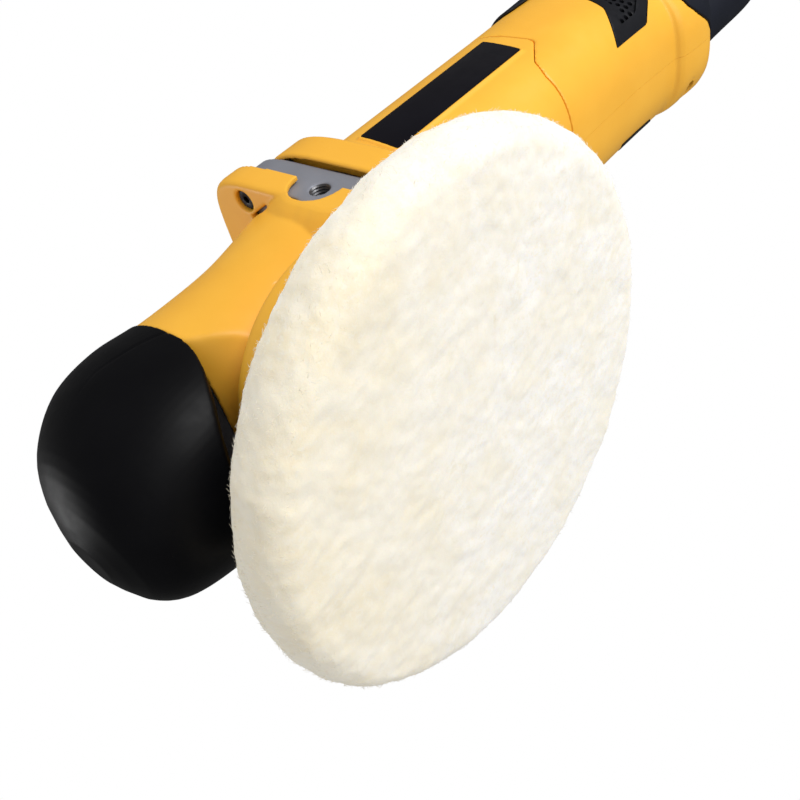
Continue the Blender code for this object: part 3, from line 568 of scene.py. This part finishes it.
def hollowed_neck(name, grow):
    """The neck with its hollowed underside, grown by a distance."""
    return solid(body(name, nose_grown(NECK, grow)), "DIFFERENCE", [waist(f"{name}_waist", -grow)])


def both_sides(name, radius, inner, outer, at=BOSS, steps=40):
    """A pair of rods along Y, one on each flank."""
    return [
        rod(f"{name}_left", radius, inner, outer, at=at, along="Y", steps=steps),
        rod(f"{name}_right", radius, -outer, -inner, at=at, along="Y", steps=steps),
    ]


def boss_shoulders(name):
    """Low cones on both flanks that blend the flange into the neck round the side-handle bosses."""
    profile = [(0, 44.4), (12.6, 44.4), (14.5, 43.9), (17, 42.2), (19.5, 40), (21.5, 38), (21.5, 34), (0, 34)]
    cones = []
    for side in (-1, 1):
        for drop in (0, 6, 12):
            spot = (BOSS[0], 0, BOSS[2] - drop)
            cones.append(turned(f"{name}_{side}_{drop}", [(radius, side * y) for radius, y in profile],
                                at=spot, along="Y", steps=64))
    return cones


def boot_side(name, gap, front):
    """Everything in front of the boot's edge, or everything behind it."""
    outline = [(x + gap, z) for x, z in BOOT_EDGE]
    outline += [(140, 20), (140, 170)] if front else [(-90, 20), (-90, 170)]
    return prism(name, outline, *ACROSS)


def flange_rods(name, radius, low, high):
    """Rods along the axes of the four flange screws."""
    return [rod(f"{name}_{index}", radius, low, high, at=(0, *spot), along="X")
            for index, spot in enumerate(FLANGE_SCREWS)]


def make_slits():
    """Slits at the roots of the four ears, leaning with the ears."""
    slits = []
    reach = Vector((3.5, 1.2, 7.2))
    for side in (-1, 1):
        lean = Matrix.Rotation(side * math.radians(33), 4, "X")
        for middle in (126, 82.6):
            spot = Vector((-28.5, side * 32.6, middle))
            turn = lean if middle > AXIS_Z else lean.inverted()
            slits.append(block(f"slit_{side}_{middle}", spot - reach, spot + reach, turn))
    return slits


def make_gear_cover():
    cover = body("gear_cover_shell", FLANGE, smooth=False)
    neck = softened(hollowed_neck("neck", 0), 0.9, 14, 0.4)
    solid(cover, "UNION", [neck, skirt("skirt", 0, 46), *boss_shoulders("shoulder")])
    flange_inside = [(-60, 42.1, 56.9, 152.6, 6.5), (-31, 42.1, 56.9, 152.6, 6.5)]
    solid(cover, "DIFFERENCE", [
        body("flange_inside", flange_inside, smooth=False), hollowed_neck("neck_inside", -COVER_WALL),
        skirt("skirt_inside", -COVER_WALL, 40), boot_side("front_trim", -0.5, True),
        block("rear_trim", (-60, -BEYOND, 84), (-40.2, BEYOND, 170)),
        rod("boss_notch", NOTCH_RADIUS, -BEYOND, BEYOND, at=BOSS, along="Y", steps=64),
        rod("lock_hole", LOCK_HOLE, 112, 160, at=LOCK_BUTTON),
        *both_sides("pin", PIN_HOLE, 34.4, BEYOND, at=PIN, steps=16),
        *flange_rods("cover_hole", HEAD_HOLE, -45, -20), *make_slits(),
    ])
    softened(cover, 0.6, 4, 0.4)
    show(cover, "body", "yellow_plastic", "gear_cover")


def make_nose_boot():
    boot = body("nose_boot_skin", nose_grown(NECK, BOOT_OUT))
    solid(boot, "DIFFERENCE", [
        body("boot_inside", nose_grown(NECK, -BOOT_IN)), boot_side("boot_trim", -0.8, False),
        skirt("boot_clearance", 0.5, 20),
    ])
    softened(boot, 0.65, 6)
    crease(boot)
    show(boot, "body", "boot_rubber", "nose_boot")


def crease(boot):
    """Presses a shallow parting crease into both flanks of the boot, fading out at its front end."""
    normals = [vertex.normal.copy() for vertex in boot.data.vertices]
    for vertex, normal in zip(boot.data.vertices, normals):
        spot = Vector((vertex.co.x, abs(vertex.co.y), vertex.co.z)) / MM
        if not (38 < spot.x < 90 and spot.y > 28 and 88 < spot.z < 108):
            continue
        away = 9.0
        for first, second in zip(CREASE, CREASE[1:]):
            a, b = Vector(first), Vector(second)
            u = min(1.0, max(0.0, (spot - a).dot(b - a) / (b - a).length_squared))
            off = spot - a.lerp(b, u)
            away = min(away, math.hypot(off.x, off.z))
        fade = min(1.0, max(0.0, (80 - spot.x) / 25))
        vertex.co -= normal * fade * 0.32 * math.exp(-(away / 0.6) ** 2) * MM


def make_gear_case():
    casting = [(-51.7, 41.7, 57.2, 152.3, 6), (-31.4, 41.7, 57.2, 152.3, 6)]
    case = body("gear_case_casting", casting, smooth=False)
    solid(case, "UNION", [
        hollowed_neck("case_neck", -CASE_INSET), skirt("case_bowl", -2.9, 46.5),
        *both_sides("boss", BOSS_RADIUS, 27, 41.5, steps=64),
    ])
    rear = [(-60, 38, 65, 143, 2.5), (-34.7, 38, 65, 143, 2.5)]
    front = [(-28.3, 34.6, 67, 135, 2.5), *nose_grown(NECK, -CHAMBER_INSET)[2:]]
    solid(case, "DIFFERENCE", [
        body("rear_chamber", rear, smooth=False),
        solid(body("front_chamber", front), "DIFFERENCE", [waist("chamber_waist", CHAMBER_INSET)]),
        turned("gear_bowl", [(0, 88.4), (29.1, 88.4), (31, 72), (31, 62.6), (0, 62.6)]),
        rod("lower_seat", 17.8, 41, 64), rod("lay_seat", 9.9, -37, -15, at=(0, 0, 84), along="X"),
        rod("lock_guide", 2.6, 76, 130, at=LOCK_BUTTON),
        rod("lock_well", LOCK_HOLE, 114.5, 150, at=LOCK_BUTTON),
        *both_sides("thread", THREAD_HOLE, 28.5, 50),
        *flange_rods("case_hole", SHANK_HOLE, -80, -20), *flange_rods("case_head", HEAD_HOLE, -33.3, -20),
    ])
    softened(case, 0.7, 3, 0.4)
    show(case, "body", "cast_alloy", "gear_case")


def make_threads():
    """Thread crests inside the two side-handle holes, in a darker steel than the casting as a painted shade
    for the holes' dark insides.
    """
    pitch = 1.25
    profile = [(4.05, 41.2)]
    for turn in range(9):
        profile += [(3.55, 40.6 - pitch * turn), (4.0, 39.95 - pitch * turn)]
    profile += [(4.3, 29.5), (4.3, 41.2), (4.05, 41.2)]
    for name, side in (("left", 1), ("right", -1)):
        ring = turned(f"side_handle_thread_{name}", [(radius, side * y) for radius, y in profile], at=BOSS,
                      along="Y", steps=48)
        # The darker lamination steel paints the shade inside the holes.
        show(shaded(ring, 20), "body", "lamination_steel")


def make_lock_button():
    profile = [(0, 139.6), (2.6, 139.5), (4.6, 139.2), (6.2, 138.7), (7.1, 138), (7.5, 137), (7.5, 126.5),
               (6.3, 126.5), (6.3, 131.6), (3.6, 131.6), (3.6, 126.5), (2.2, 126.5), (2.2, 76.5), (0, 76.5)]
    button = turned("lock_button_cap", profile, at=LOCK_BUTTON, steps=64)
    grooves = []
    for radius in (2.4, 4.2):
        inner, outer = radius - 0.35, radius + 0.35
        groove = [(outer, 141), (outer, 138.8), (inner, 138.8), (inner, 141), (outer, 141)]
        grooves.append(turned(f"button_groove_{radius}", groove, at=LOCK_BUTTON, steps=64))
    solid(button, "DIFFERENCE", grooves)
    show(shaded(button, 30), "spindle_lock_body", "black_plastic", "lock_button")


def hex_screw(name, node, spot, along, head_low, head_high, tail, radius):
    """A cap screw with a hexagon socket; its head lies between two heights along the axis."""
    out = 1 if head_high > head_low else -1
    profile = [(0, head_high), (radius - 0.5, head_high), (radius, head_high - 0.5 * out), (radius, head_low),
               (1.7, head_low), (1.7, tail), (0, tail)]
    screw = turned(name, profile, at=spot, along=along, steps=32)
    top, bottom = head_high + out, head_high - 1.8 * out
    hexagon = [(0, top), (1.6, top), (1.6, bottom), (0, bottom)]
    solid(screw, "DIFFERENCE", [turned(f"{name}_socket", hexagon, at=spot, along=along, steps=6)])
    show(bevelled(screw, 0.12, 2), "body", "screw_steel", node)


def make_screws():
    for number, (y, z) in enumerate(FLANGE_SCREWS, 1):
        hex_screw(f"flange_cap_screw_{number}", f"flange_screw_{number}", (0, y, z), "X",
                  head_low=-33, head_high=-29.2, tail=-66, radius=4.3)
    for number, (x, z) in enumerate(HANDLE_SCREWS, 1):
        hex_screw(f"handle_cap_screw_{number}", f"handle_screw_{number}", (x, 0, z), "Y",
                  head_low=-8.6, head_high=-11, tail=6.5, radius=3.6)


# Motor housing ------------------------------------------------------------------------------------------

def make_motor_housing():
    housing = body("motor_housing_shell", COLLAR, smooth=False)
    lips = []
    for side in (-1, 1):
        lip = prism(f"label_lip_{side}", rounded_outline(offset(LABEL, 1.1), 1.5), *outwards(side, 20))
        solid(lip, "INTERSECT", [body(f"lip_limit_{side}", BARREL, grow=1.0, smooth=False)])
        lips.append(lip)
    solid(housing, "UNION", [body("barrel", BARREL, smooth=False), *lips])
    behind = [*rounded_outline(SEAM, 1.5), (-260, 40), (-260, 170)]
    pockets = []
    for side in (-1, 1):
        pocket = prism(f"label_pocket_{side}", offset(LABEL, 0.25), *outwards(side, 20))
        solid(pocket, "DIFFERENCE", [body(f"pocket_floor_{side}", BARREL, grow=0.2, smooth=False)])
        pockets.append(pocket)
    recess = [(-40, 37.9, 66.1, 141.9, 2.6), (-62.3, 37.9, 66.1, 141.9, 2.6)]
    bore = [(-30, 35.7, 68.3, 139.7, 2.6), (-210, 35.7, 68.3, 139.7, 2.6)]
    groove = [(-50, 43.2, 60.6, 148.2, 3.8), (-55.5, 43.2, 60.6, 148.2, 3.8)]
    solid(housing, "DIFFERENCE", [
        body("plate_recess", recess, smooth=False), body("motor_bore", bore, smooth=False),
        body("collar_groove", groove, smooth=False), prism("rear_trim", behind, *ACROSS), *pockets,
        *flange_rods("housing_hole", SHANK_HOLE, -66.6, -20),
    ])
    softened(housing, 0.65, 4, 0.45)
    show(housing, "body", "yellow_plastic", "motor_housing")


def make_labels():
    """Plain dark panels let into the barrel; no lettering."""
    for name, side in (("left", 1), ("right", -1)):
        label = prism(f"label_panel_{name}", rounded_outline(LABEL, 1.2), *outwards(side, 20))
        solid(label, "INTERSECT", [body(f"{name}_face", BARREL, grow=0.95, smooth=False, count=192)])
        solid(label, "DIFFERENCE", [body(f"{name}_floor", BARREL, grow=0.3, smooth=False, count=192)])
        show(bevelled(label, 0.18, 2, 50), "body", "label_film", f"label_{name}")


# Rear housing and handle --------------------------------------------------------------------------------

def rear_body(name, grow=0.0, trim=0.0):
    """The rear of the housing: the barrel's end, a step down and the block that the handle grows from."""
    rows = eased(REAR_FRONT) + REAR_BLOCK[1:]
    rows = [(x, half + grow, low - grow, high + grow, power) for x, half, low, high, power in rows]
    last = rows[-1]
    rows.append((last[0] - 1.2 - grow, last[1] - 1.5, last[2] + 1.5, last[3] - 1.5, last[4]))
    if trim:
        rows[0] = (rows[0][0] + trim, *rows[0][1:])
    return body(name, rows, smooth=False)


def bar_root(name, grow, outer, inner):
    """The rubber let into the housing's lower rear corner, from which the lower bar comes out."""
    outline = [(x + grow, y) for x, y in ROOT]
    patch = skin(name, [[(x, y, z) for x, y in outline] for z in (50, 76 + grow)])
    solid(patch, "INTERSECT", [rear_body(f"{name}_outer", outer)])
    solid(patch, "DIFFERENCE", [rear_body(f"{name}_inner", inner, 10)])
    return patch


def vent_outline(grow):
    """The vent's rounded outline, grown by a distance."""
    return rounded_outline(offset(VENT, grow), 1.4)


def inside_outline(point, outline):
    """Whether a point lies inside an outline, by the sides that it has to the right of it."""
    x, z = point
    found = False
    for (x1, z1), (x2, z2) in zip(outline, outline[1:] + outline[:1]):
        if (z1 > z) != (z2 > z) and x < (x2 - x1) * (z - z1) / (z2 - z1) + x1:
            found = not found
    return found


def make_handle_shell(name, side):
    """One half of the rear housing and its loop handle, hollow, with the seats of the controls."""
    shell = rear_body(f"handle_half_{name}")
    solid(shell, "UNION", [handle(f"{name}_loop")])
    solid(shell, "DIFFERENCE", [rear_body(f"{name}_hollow", -2.8, 10)])
    bosses = [rod(f"{name}_boss_{index}", 5, -reach, reach, at=(x, 0, z), along="Y")
              for index, ((x, z), reach) in enumerate(zip(HANDLE_SCREWS, (17, 14)))]
    solid(shell, "UNION", bosses)
    ahead = [(x - 0.35, z) for x, z in rounded_outline(SEAM, 1.5)] + [(-90, 40), (-90, 170)]
    tools = [
        prism(f"{name}_front_trim", ahead, *ACROSS), bar_root(f"{name}_root", 0.0, 2.0, -2.0),
        block(f"{name}_switch_pocket", (-338, -9.5, 131), (-284, 9.5, 151)),
        block(f"{name}_trigger_slot", (-331, -6.6, 115), (-283.5, 6.6, 132)),
        rod(f"{name}_dial_slot", DIAL_SLOT, -4.6, 4.6, at=DIAL, along="Y"),
        rod(f"{name}_pivot", 2.3, -9.4, 9.4, at=TRIGGER_PIVOT, along="Y"),
        rod(f"{name}_gland_seat", GLAND_HOLE, -384, -361, at=GLAND, along="X"),
    ]
    if side > 0:
        tools.append(rod("lock_on_hole", LOCK_ON_HOLE, 5, 30, at=LOCK_ON, along="Y"))
    for index, (x, z) in enumerate(HANDLE_SCREWS):
        tools.append(rod(f"{name}_hole_{index}", 2, -BEYOND, 7, at=(x, 0, z), along="Y"))
        if side < 0:
            tools.append(rod(f"{name}_head_{index}", 3.75, -BEYOND, -8.3, at=(x, 0, z), along="Y"))
    solid(shell, "DIFFERENCE", tools)
    softened(shell, 0.75, 3, 0.45)
    low, high = sorted((side * -80, side * 0.05))
    solid(shell, "DIFFERENCE", [
        prism(f"{name}_vent_hole", vent_outline(0.35), *outwards(side, VENT_DEEP)),
        block(f"{name}_other_half", (-420, low, 20), (-90, high, 200)),
    ])
    show(shaded(shell), "body", "yellow_plastic", f"handle_shell_{name}")


def make_overmoulds():
    cover = rear_body("grip_skin", 1.5)
    solid(cover, "UNION", [handle("grip_loop", 1.5)])
    solid(cover, "INTERSECT", [prism("grip_limit", rounded_outline(OVERMOULD, 4), *ACROSS)])
    solid(cover, "DIFFERENCE", [
        rear_body("grip_inside", 0.3), handle("grip_inside_loop", 0.3),
        rod("grip_dial_slot", DIAL_SLOT, -4.6, 4.6, at=DIAL, along="Y"),
        rod("grip_gland_hole", GLAND_HOLE, -390, -361, at=GLAND, along="X"),
        rod("grip_lock_on_hole", LOCK_ON_HOLE, 5, 30, at=LOCK_ON, along="Y"),
    ])
    softened(cover, 0.6, 2, 0.4)
    show(cover, "body", "grip_rubber", "grip_overmould")

    bar = handle("lower_bar_skin", 2.2, first=8)
    solid(bar, "DIFFERENCE", [
        handle("bar_inside", 0.3, first=8), block("bar_front_trim", (-274.9, -40, 40), (-230, 40, 110)),
        prism("bar_rear_trim", [(-352, 60), (-341, 60), (-341, 95), (-360, 95)], -40, 40),
    ])
    solid(bar, "UNION", [bar_root("root_patch", -0.35, 0.5, -1.6)])
    softened(bar, 0.55, 3, 0.45)
    show(bar, "body", "grip_rubber", "lower_bar_sleeve")


def make_vents():
    """A framed grille on each side: a thick rim round a sunk field of hexagonal mesh."""
    field = offset(VENT, -6.3)
    for name, side in (("left", 1), ("right", -1)):
        ends = outwards(side, VENT_DEEP)
        panel = prism(f"vent_grille_{name}", vent_outline(0.0), *ends)
        solid(panel, "INTERSECT", [rear_body(f"vent_face_{name}", 0.25)])
        solid(panel, "DIFFERENCE", [rear_body(f"vent_back_{name}", -2.6, 5)])
        well = prism(f"vent_well_{name}", rounded_outline(offset(VENT, -4.6), 2), *ends)
        solid(well, "DIFFERENCE", [rear_body(f"vent_well_floor_{name}", -1.3)])
        holes = []
        for row in range(14):
            for column in range(14):
                x = -250 + 3.6 * column + (1.8 if row % 2 else 0)
                z = 72 + 3.1 * row
                if inside_outline((x, z), field):
                    holes.append(rod(f"mesh_{row}_{column}", 1.3, *ends, at=(x, 0, z), along="Y", steps=6))
        solid(panel, "DIFFERENCE", [well, *holes])
        show(bevelled(panel, 0.25, 2, 50), "body", "black_plastic", f"vent_{name}")


def make_controls():
    outline = [(-284, 130.8), (-284, 125), (-296, 119.5), (-312, 118), (-327, 121), (-329.5, 126),
               (-329.5, 130.8)]
    trigger = prism("trigger_lever", rounded_outline(outline, 4, 8), -6, 6)
    solid(trigger, "UNION", [rod("trunnions", 2, -9, 9, at=TRIGGER_PIVOT, along="Y")])
    show(bevelled(trigger, 1.1, 4, 50), "trigger_body", "black_plastic", "trigger")

    profile = [(0, 20.6), (2.5, 20.5), (4.2, 20.1), (5, 19.3), (5, 12.7), (0, 12.7)]
    button = turned("lock_on_cap", profile, at=LOCK_ON, along="Y", steps=48)
    show(shaded(button, 30), "lock_on_body", "black_plastic", "lock_on_button")

    teeth = 44
    outline = []
    for step in range(teeth * 4):
        turn = TAU * step / (teeth * 4)
        reach = 13.2 - 0.7 * (0.5 - 0.5 * math.cos(TAU * step / 4))
        outline.append((DIAL[0] + reach * math.cos(turn), DIAL[2] + reach * math.sin(turn)))
    dial = prism("speed_wheel", outline, -4.2, 4.2)
    show(bevelled(dial, 0.35, 2, 60), "speed_dial_body", "black_plastic", "speed_dial")

    profile = [(0, -361.4), (9.1, -361.4), (9.1, -374)]
    for ring in range(5):
        x = -375 - 4 * ring
        wide = 8.6 - 0.62 * ring
        profile += [(wide, x), (wide, x - 2.2), (wide - 1.3, x - 2.8), (wide - 1.3, x - 3.6)]
    profile += [(5.3, -394.6), (5.0, -396), (3.8, -396), (3.8, -366), (0, -366)]
    gland = turned("cable_boot", profile, at=GLAND, along="X", steps=64)
    show(bevelled(gland, 0.25, 2, 40), "body", "grip_rubber", "cable_gland")


# Pad ----------------------------------------------------------------------------------------------------

def make_backing_plate():
    profile = [(7.5, 38), (23, 38), (24.4, 37.6), (26, 36.9), (30, 36), (75, 30.9), (79, 30.1), (81, 29),
               (81.5, 28), (81.5, 26.4), (80.7, 25.3), (7.5, 25.3), (7.5, 38)]
    plate = turned("backing_disc", profile, steps=160)
    grooves = []
    for radius in (44, 62):
        inner, outer, depth = radius - 0.6, radius + 0.6, 33.6 - (radius - 50) * 0.09
        groove = [(outer, 40), (outer, depth), (inner, depth), (inner, 40), (outer, 40)]
        grooves.append(turned(f"plate_groove_{radius}", groove, steps=160))
    solid(plate, "DIFFERENCE", grooves)
    show(bevelled(plate, 0.3, 2, 40), "spindle_assembly", "plate_rubber", "backing_plate")


def pad_profile():
    """(radius, height) round the pad from its top to its working face, with a full, soft edge."""
    edge = []
    for step in range(17):
        turn = math.radians(82 - 164 * step / 16)
        edge.append((83.5 + 11.2 * math.cos(turn) ** 0.8, 12.4 + 11.9 * math.sin(turn)))
    collar = [(81.9, 24.8), (82.6, 26.6), (84, 27.2), (85.8, 26.8), (87.6, 25.5)]
    return [(0, 24.2), (40, 24.3), (80.5, 24.4), *collar, *edge[3:], (74, 0.35), (40, 0.2), (0, 0.2)]


def make_pad():
    """Cut wool pile: a full disc whose surface is drawn into matted clumps, with loose locks over it."""
    pad = softened(turned("wool_pad_pile", pad_profile(), steps=128), 1.15, 4)
    vertices = pad.data.vertices
    normals = [vertex.normal.copy() for vertex in vertices]
    for vertex, normal in zip(vertices, normals):
        spot = vertex.co / MM
        relief = pile_relief(spot)
        if spot.z > 22 and spot.xy.length < 84:  # nearly flat under the backing plate
            relief *= 0.15
        vertex.co += normal * relief * MM
        vertex.co.z = max(vertex.co.z, 0.0)
    show(pad, "spindle_assembly", "wool", "wool_pad")
    make_locks(pad)


def pile_relief(spot):
    """How far the pile stands in or out at a point, in millimetres: big soft clumps and small tufts."""
    swirl = Vector((noise.noise(spot * 0.035), noise.noise(spot * 0.035 + Vector((9, 4, 2))), 0)) * 4
    clumps = noise.fractal((spot + swirl) * 0.075, 0.6, 2.2, 3)
    tufts = noise.fractal((spot + swirl * 1.5) * 0.3, 0.75, 2.1, 3)
    furrow = -abs(noise.noise((spot + swirl) * 0.11 + Vector((3, 8, 1))))
    return -0.55 + 0.55 * clumps + 0.2 * tufts + 0.18 * (furrow + 0.18)


def make_locks(pad):
    """Loose locks of wool lying on the pile: short curved tapers, all as one mesh."""
    spots, edge_spots = [], []
    for face in pad.data.polygons:
        centre = face.center / MM
        if centre.z < 21 or centre.xy.length > 86:
            spots.append((centre.copy(), face.normal.copy()))
            if centre.xy.length > 88:
                edge_spots.append(spots[-1])
    shape = bmesh.new()
    for index in range(WOOL_LOCKS):
        centre, normal = random.choice(edge_spots if index % 2 else spots)
        rim = min(1.0, max(0.0, (centre.xy.length - 82) / 10))
        swirl = noise.noise(centre * 0.05) * TAU * 1.5 + random.uniform(-0.9, 0.9)
        side = Matrix.Rotation(swirl, 3, normal) @ normal.orthogonal().normalized()
        lift = random.uniform(0.05, 0.18) + 1.1 * rim * random.random()
        length = random.uniform(1.2, 2.8) * (1 - 0.2 * rim)
        width = random.uniform(0.05, 0.09)
        across = side.cross(normal)
        rows = []
        for along, taper in ((0, 1.0), (0.4, 0.85), (0.75, 0.5)):
            rise = lift * length * (along - 0.45 * along * along) - 0.35
            middle = centre + side * length * along + normal * rise
            row = []
            for turn in (0.5, 0.5 + TAU / 3, 0.5 + 2 * TAU / 3):
                spoke = across * math.cos(turn) + normal * math.sin(turn)
                row.append(shape.verts.new((middle + spoke * width * taper) * MM))
            rows.append(row)
        tip = shape.verts.new((centre + side * length + normal * (lift * length * 0.55 - 0.35)) * MM)
        for first, second in zip(rows, rows[1:]):
            for corner in range(3):
                after = (corner + 1) % 3
                shape.faces.new((first[corner], first[after], second[after], second[corner]))
        for corner in range(3):
            shape.faces.new((rows[-1][corner], rows[-1][(corner + 1) % 3], tip))
        shape.faces.new(rows[0])
    for vertex in shape.verts:
        vertex.co.z = max(vertex.co.z, 0.0)
    locks = add_object("wool_pad_locks", shape)
    locks.data.shade_smooth()
    locks.visible_shadow = False
    show(locks, "spindle_assembly", "wool")


# Studio -------------------------------------------------------------------------------------------------

CAMERA_AT = Vector((0.1483, 0.2044, -0.1371))
CAMERA_AIM = Vector((-0.0161, -0.0311, 0.0630))
CAMERA_ROLL = math.radians(-67.39)


def camera_frame():
    """The camera's right, up and back directions."""
    forward = (CAMERA_AIM - CAMERA_AT).normalized()
    level = forward.cross(Vector((0, 0, 1))).normalized()
    plumb = level.cross(forward)
    right = level * math.cos(CAMERA_ROLL) + plumb * math.sin(CAMERA_ROLL)
    up = plumb * math.cos(CAMERA_ROLL) - level * math.sin(CAMERA_ROLL)
    return right, up, -forward


def make_camera():
    lens = bpy.data.cameras.new("camera")
    lens.lens = 40.5
    lens.sensor_width = 36
    lens.clip_start = 0.01
    camera = bpy.data.objects.new("camera", lens)
    bpy.context.scene.collection.objects.link(camera)
    right, up, back = camera_frame()
    camera.matrix_world = Matrix((
        (right.x, up.x, back.x, CAMERA_AT.x),
        (right.y, up.y, back.y, CAMERA_AT.y),
        (right.z, up.z, back.z, CAMERA_AT.z),
        (0, 0, 0, 1),
    ))
    bpy.context.scene.camera = camera


def make_floor():
    """A pale floor under the pad. It is one-way: from below, its back isn't there."""
    shape = bmesh.new()
    bmesh.ops.create_grid(shape, x_segments=1, y_segments=1, size=6)
    floor = add_object("floor", shape)
    floor.location.z = -0.0006
    look = Look("floor", roughness=0.9)
    look.colour(look.mix(look.noise(60, 3), (0.80, 0.80, 0.80), (0.82, 0.82, 0.82)))
    tree = look.tree
    clear = tree.nodes.new("ShaderNodeBsdfTransparent")
    facing = tree.nodes.new("ShaderNodeNewGeometry")
    blend = tree.nodes.new("ShaderNodeMixShader")
    output = tree.nodes["Material Output"]
    tree.links.new(facing.outputs["Backfacing"], blend.inputs["Fac"])
    tree.links.new(look.shader.outputs["BSDF"], blend.inputs[1])
    tree.links.new(clear.outputs["BSDF"], blend.inputs[2])
    tree.links.new(blend.outputs["Shader"], output.inputs["Surface"])
    floor.data.materials.append(look.material)
    for flag in ("visible_diffuse", "visible_glossy", "visible_transmission", "visible_shadow"):
        setattr(floor, flag, False)


def area_light(name, spot, aim, size, watts):
    """A round lamp at a spot, turned towards its aim."""
    lamp = bpy.data.lights.new(name, "AREA")
    lamp.shape = "DISK"
    lamp.size = size
    lamp.energy = watts
    thing = bpy.data.objects.new(name, lamp)
    bpy.context.scene.collection.objects.link(thing)
    thing.location = spot
    thing.rotation_euler = (Vector(aim) - Vector(spot)).to_track_quat("-Z", "Y").to_euler()
    return thing


def make_studio():
    """A white backdrop, an even white light that is weaker in reflections, and four lamps."""
    world = bpy.data.worlds.new("studio")
    bpy.context.scene.world = world
    world.use_nodes = True
    tree = world.node_tree
    soft = tree.nodes["Background"]
    soft.inputs["Color"].default_value = (1, 1, 1, 1)
    path = tree.nodes.new("ShaderNodeLightPath")
    full, reflected = 0.6, 0.12
    strength = tree.nodes.new("ShaderNodeMath")
    strength.operation = "MULTIPLY_ADD"
    strength.inputs[1].default_value = reflected - full
    strength.inputs[2].default_value = full
    tree.links.new(path.outputs["Is Glossy Ray"], strength.inputs[0])
    tree.links.new(strength.outputs["Value"], soft.inputs["Strength"])
    seen = tree.nodes.new("ShaderNodeBackground")
    seen.inputs["Color"].default_value = (1, 1, 1, 1)
    seen.inputs["Strength"].default_value = 1.0
    blend = tree.nodes.new("ShaderNodeMixShader")
    tree.links.new(path.outputs["Is Camera Ray"], blend.inputs["Fac"])
    tree.links.new(soft.outputs["Background"], blend.inputs[1])
    tree.links.new(seen.outputs["Background"], blend.inputs[2])
    tree.links.new(blend.outputs["Shader"], tree.nodes["World Output"].inputs["Surface"])
    right, up, back = camera_frame()
    aim = Vector((-0.02, 0, 0.08))
    area_light("key", aim + back + up + right * 0.5, aim, 0.7, 12.5)
    area_light("pad_fill", aim + back * 0.9 + right + up * 0.2, aim, 0.9, 4.3)
    overhead = area_light("overhead", (-0.2, -0.5, 1.6), (-0.1, 0, 0.08), 1.0, 10)
    overhead.visible_glossy = False
    area_light("front_top", (0.9, -0.3, 1.2), (0, 0, 0.08), 0.6, 2.8)
    bpy.context.scene.view_settings.view_transform = "Standard"


def finish_design_nodes():
    """Every design node that still shows gets its slot's material and a smooth shade."""
    slots = {entry["node"]: entry["material_slot"] for entry in frame["record"]["subparts"]}
    for name, thing in frame["nodes"].items():
        if thing.hide_render:
            continue
        thing.data.materials.clear()
        thing.data.materials.append(LOOKS[slots[name]])
        thing.data.shade_smooth()
        thing.data.set_sharp_from_angle(angle=math.radians(32))


make_camera()
make_floor()
make_studio()
make_gear_cover()
make_nose_boot()
make_gear_case()
make_threads()
make_lock_button()
make_screws()
make_motor_housing()
make_labels()
make_handle_shell("left", 1)
make_handle_shell("right", -1)
make_overmoulds()
make_vents()
make_controls()
make_backing_plate()
make_pad()
finish_design_nodes()
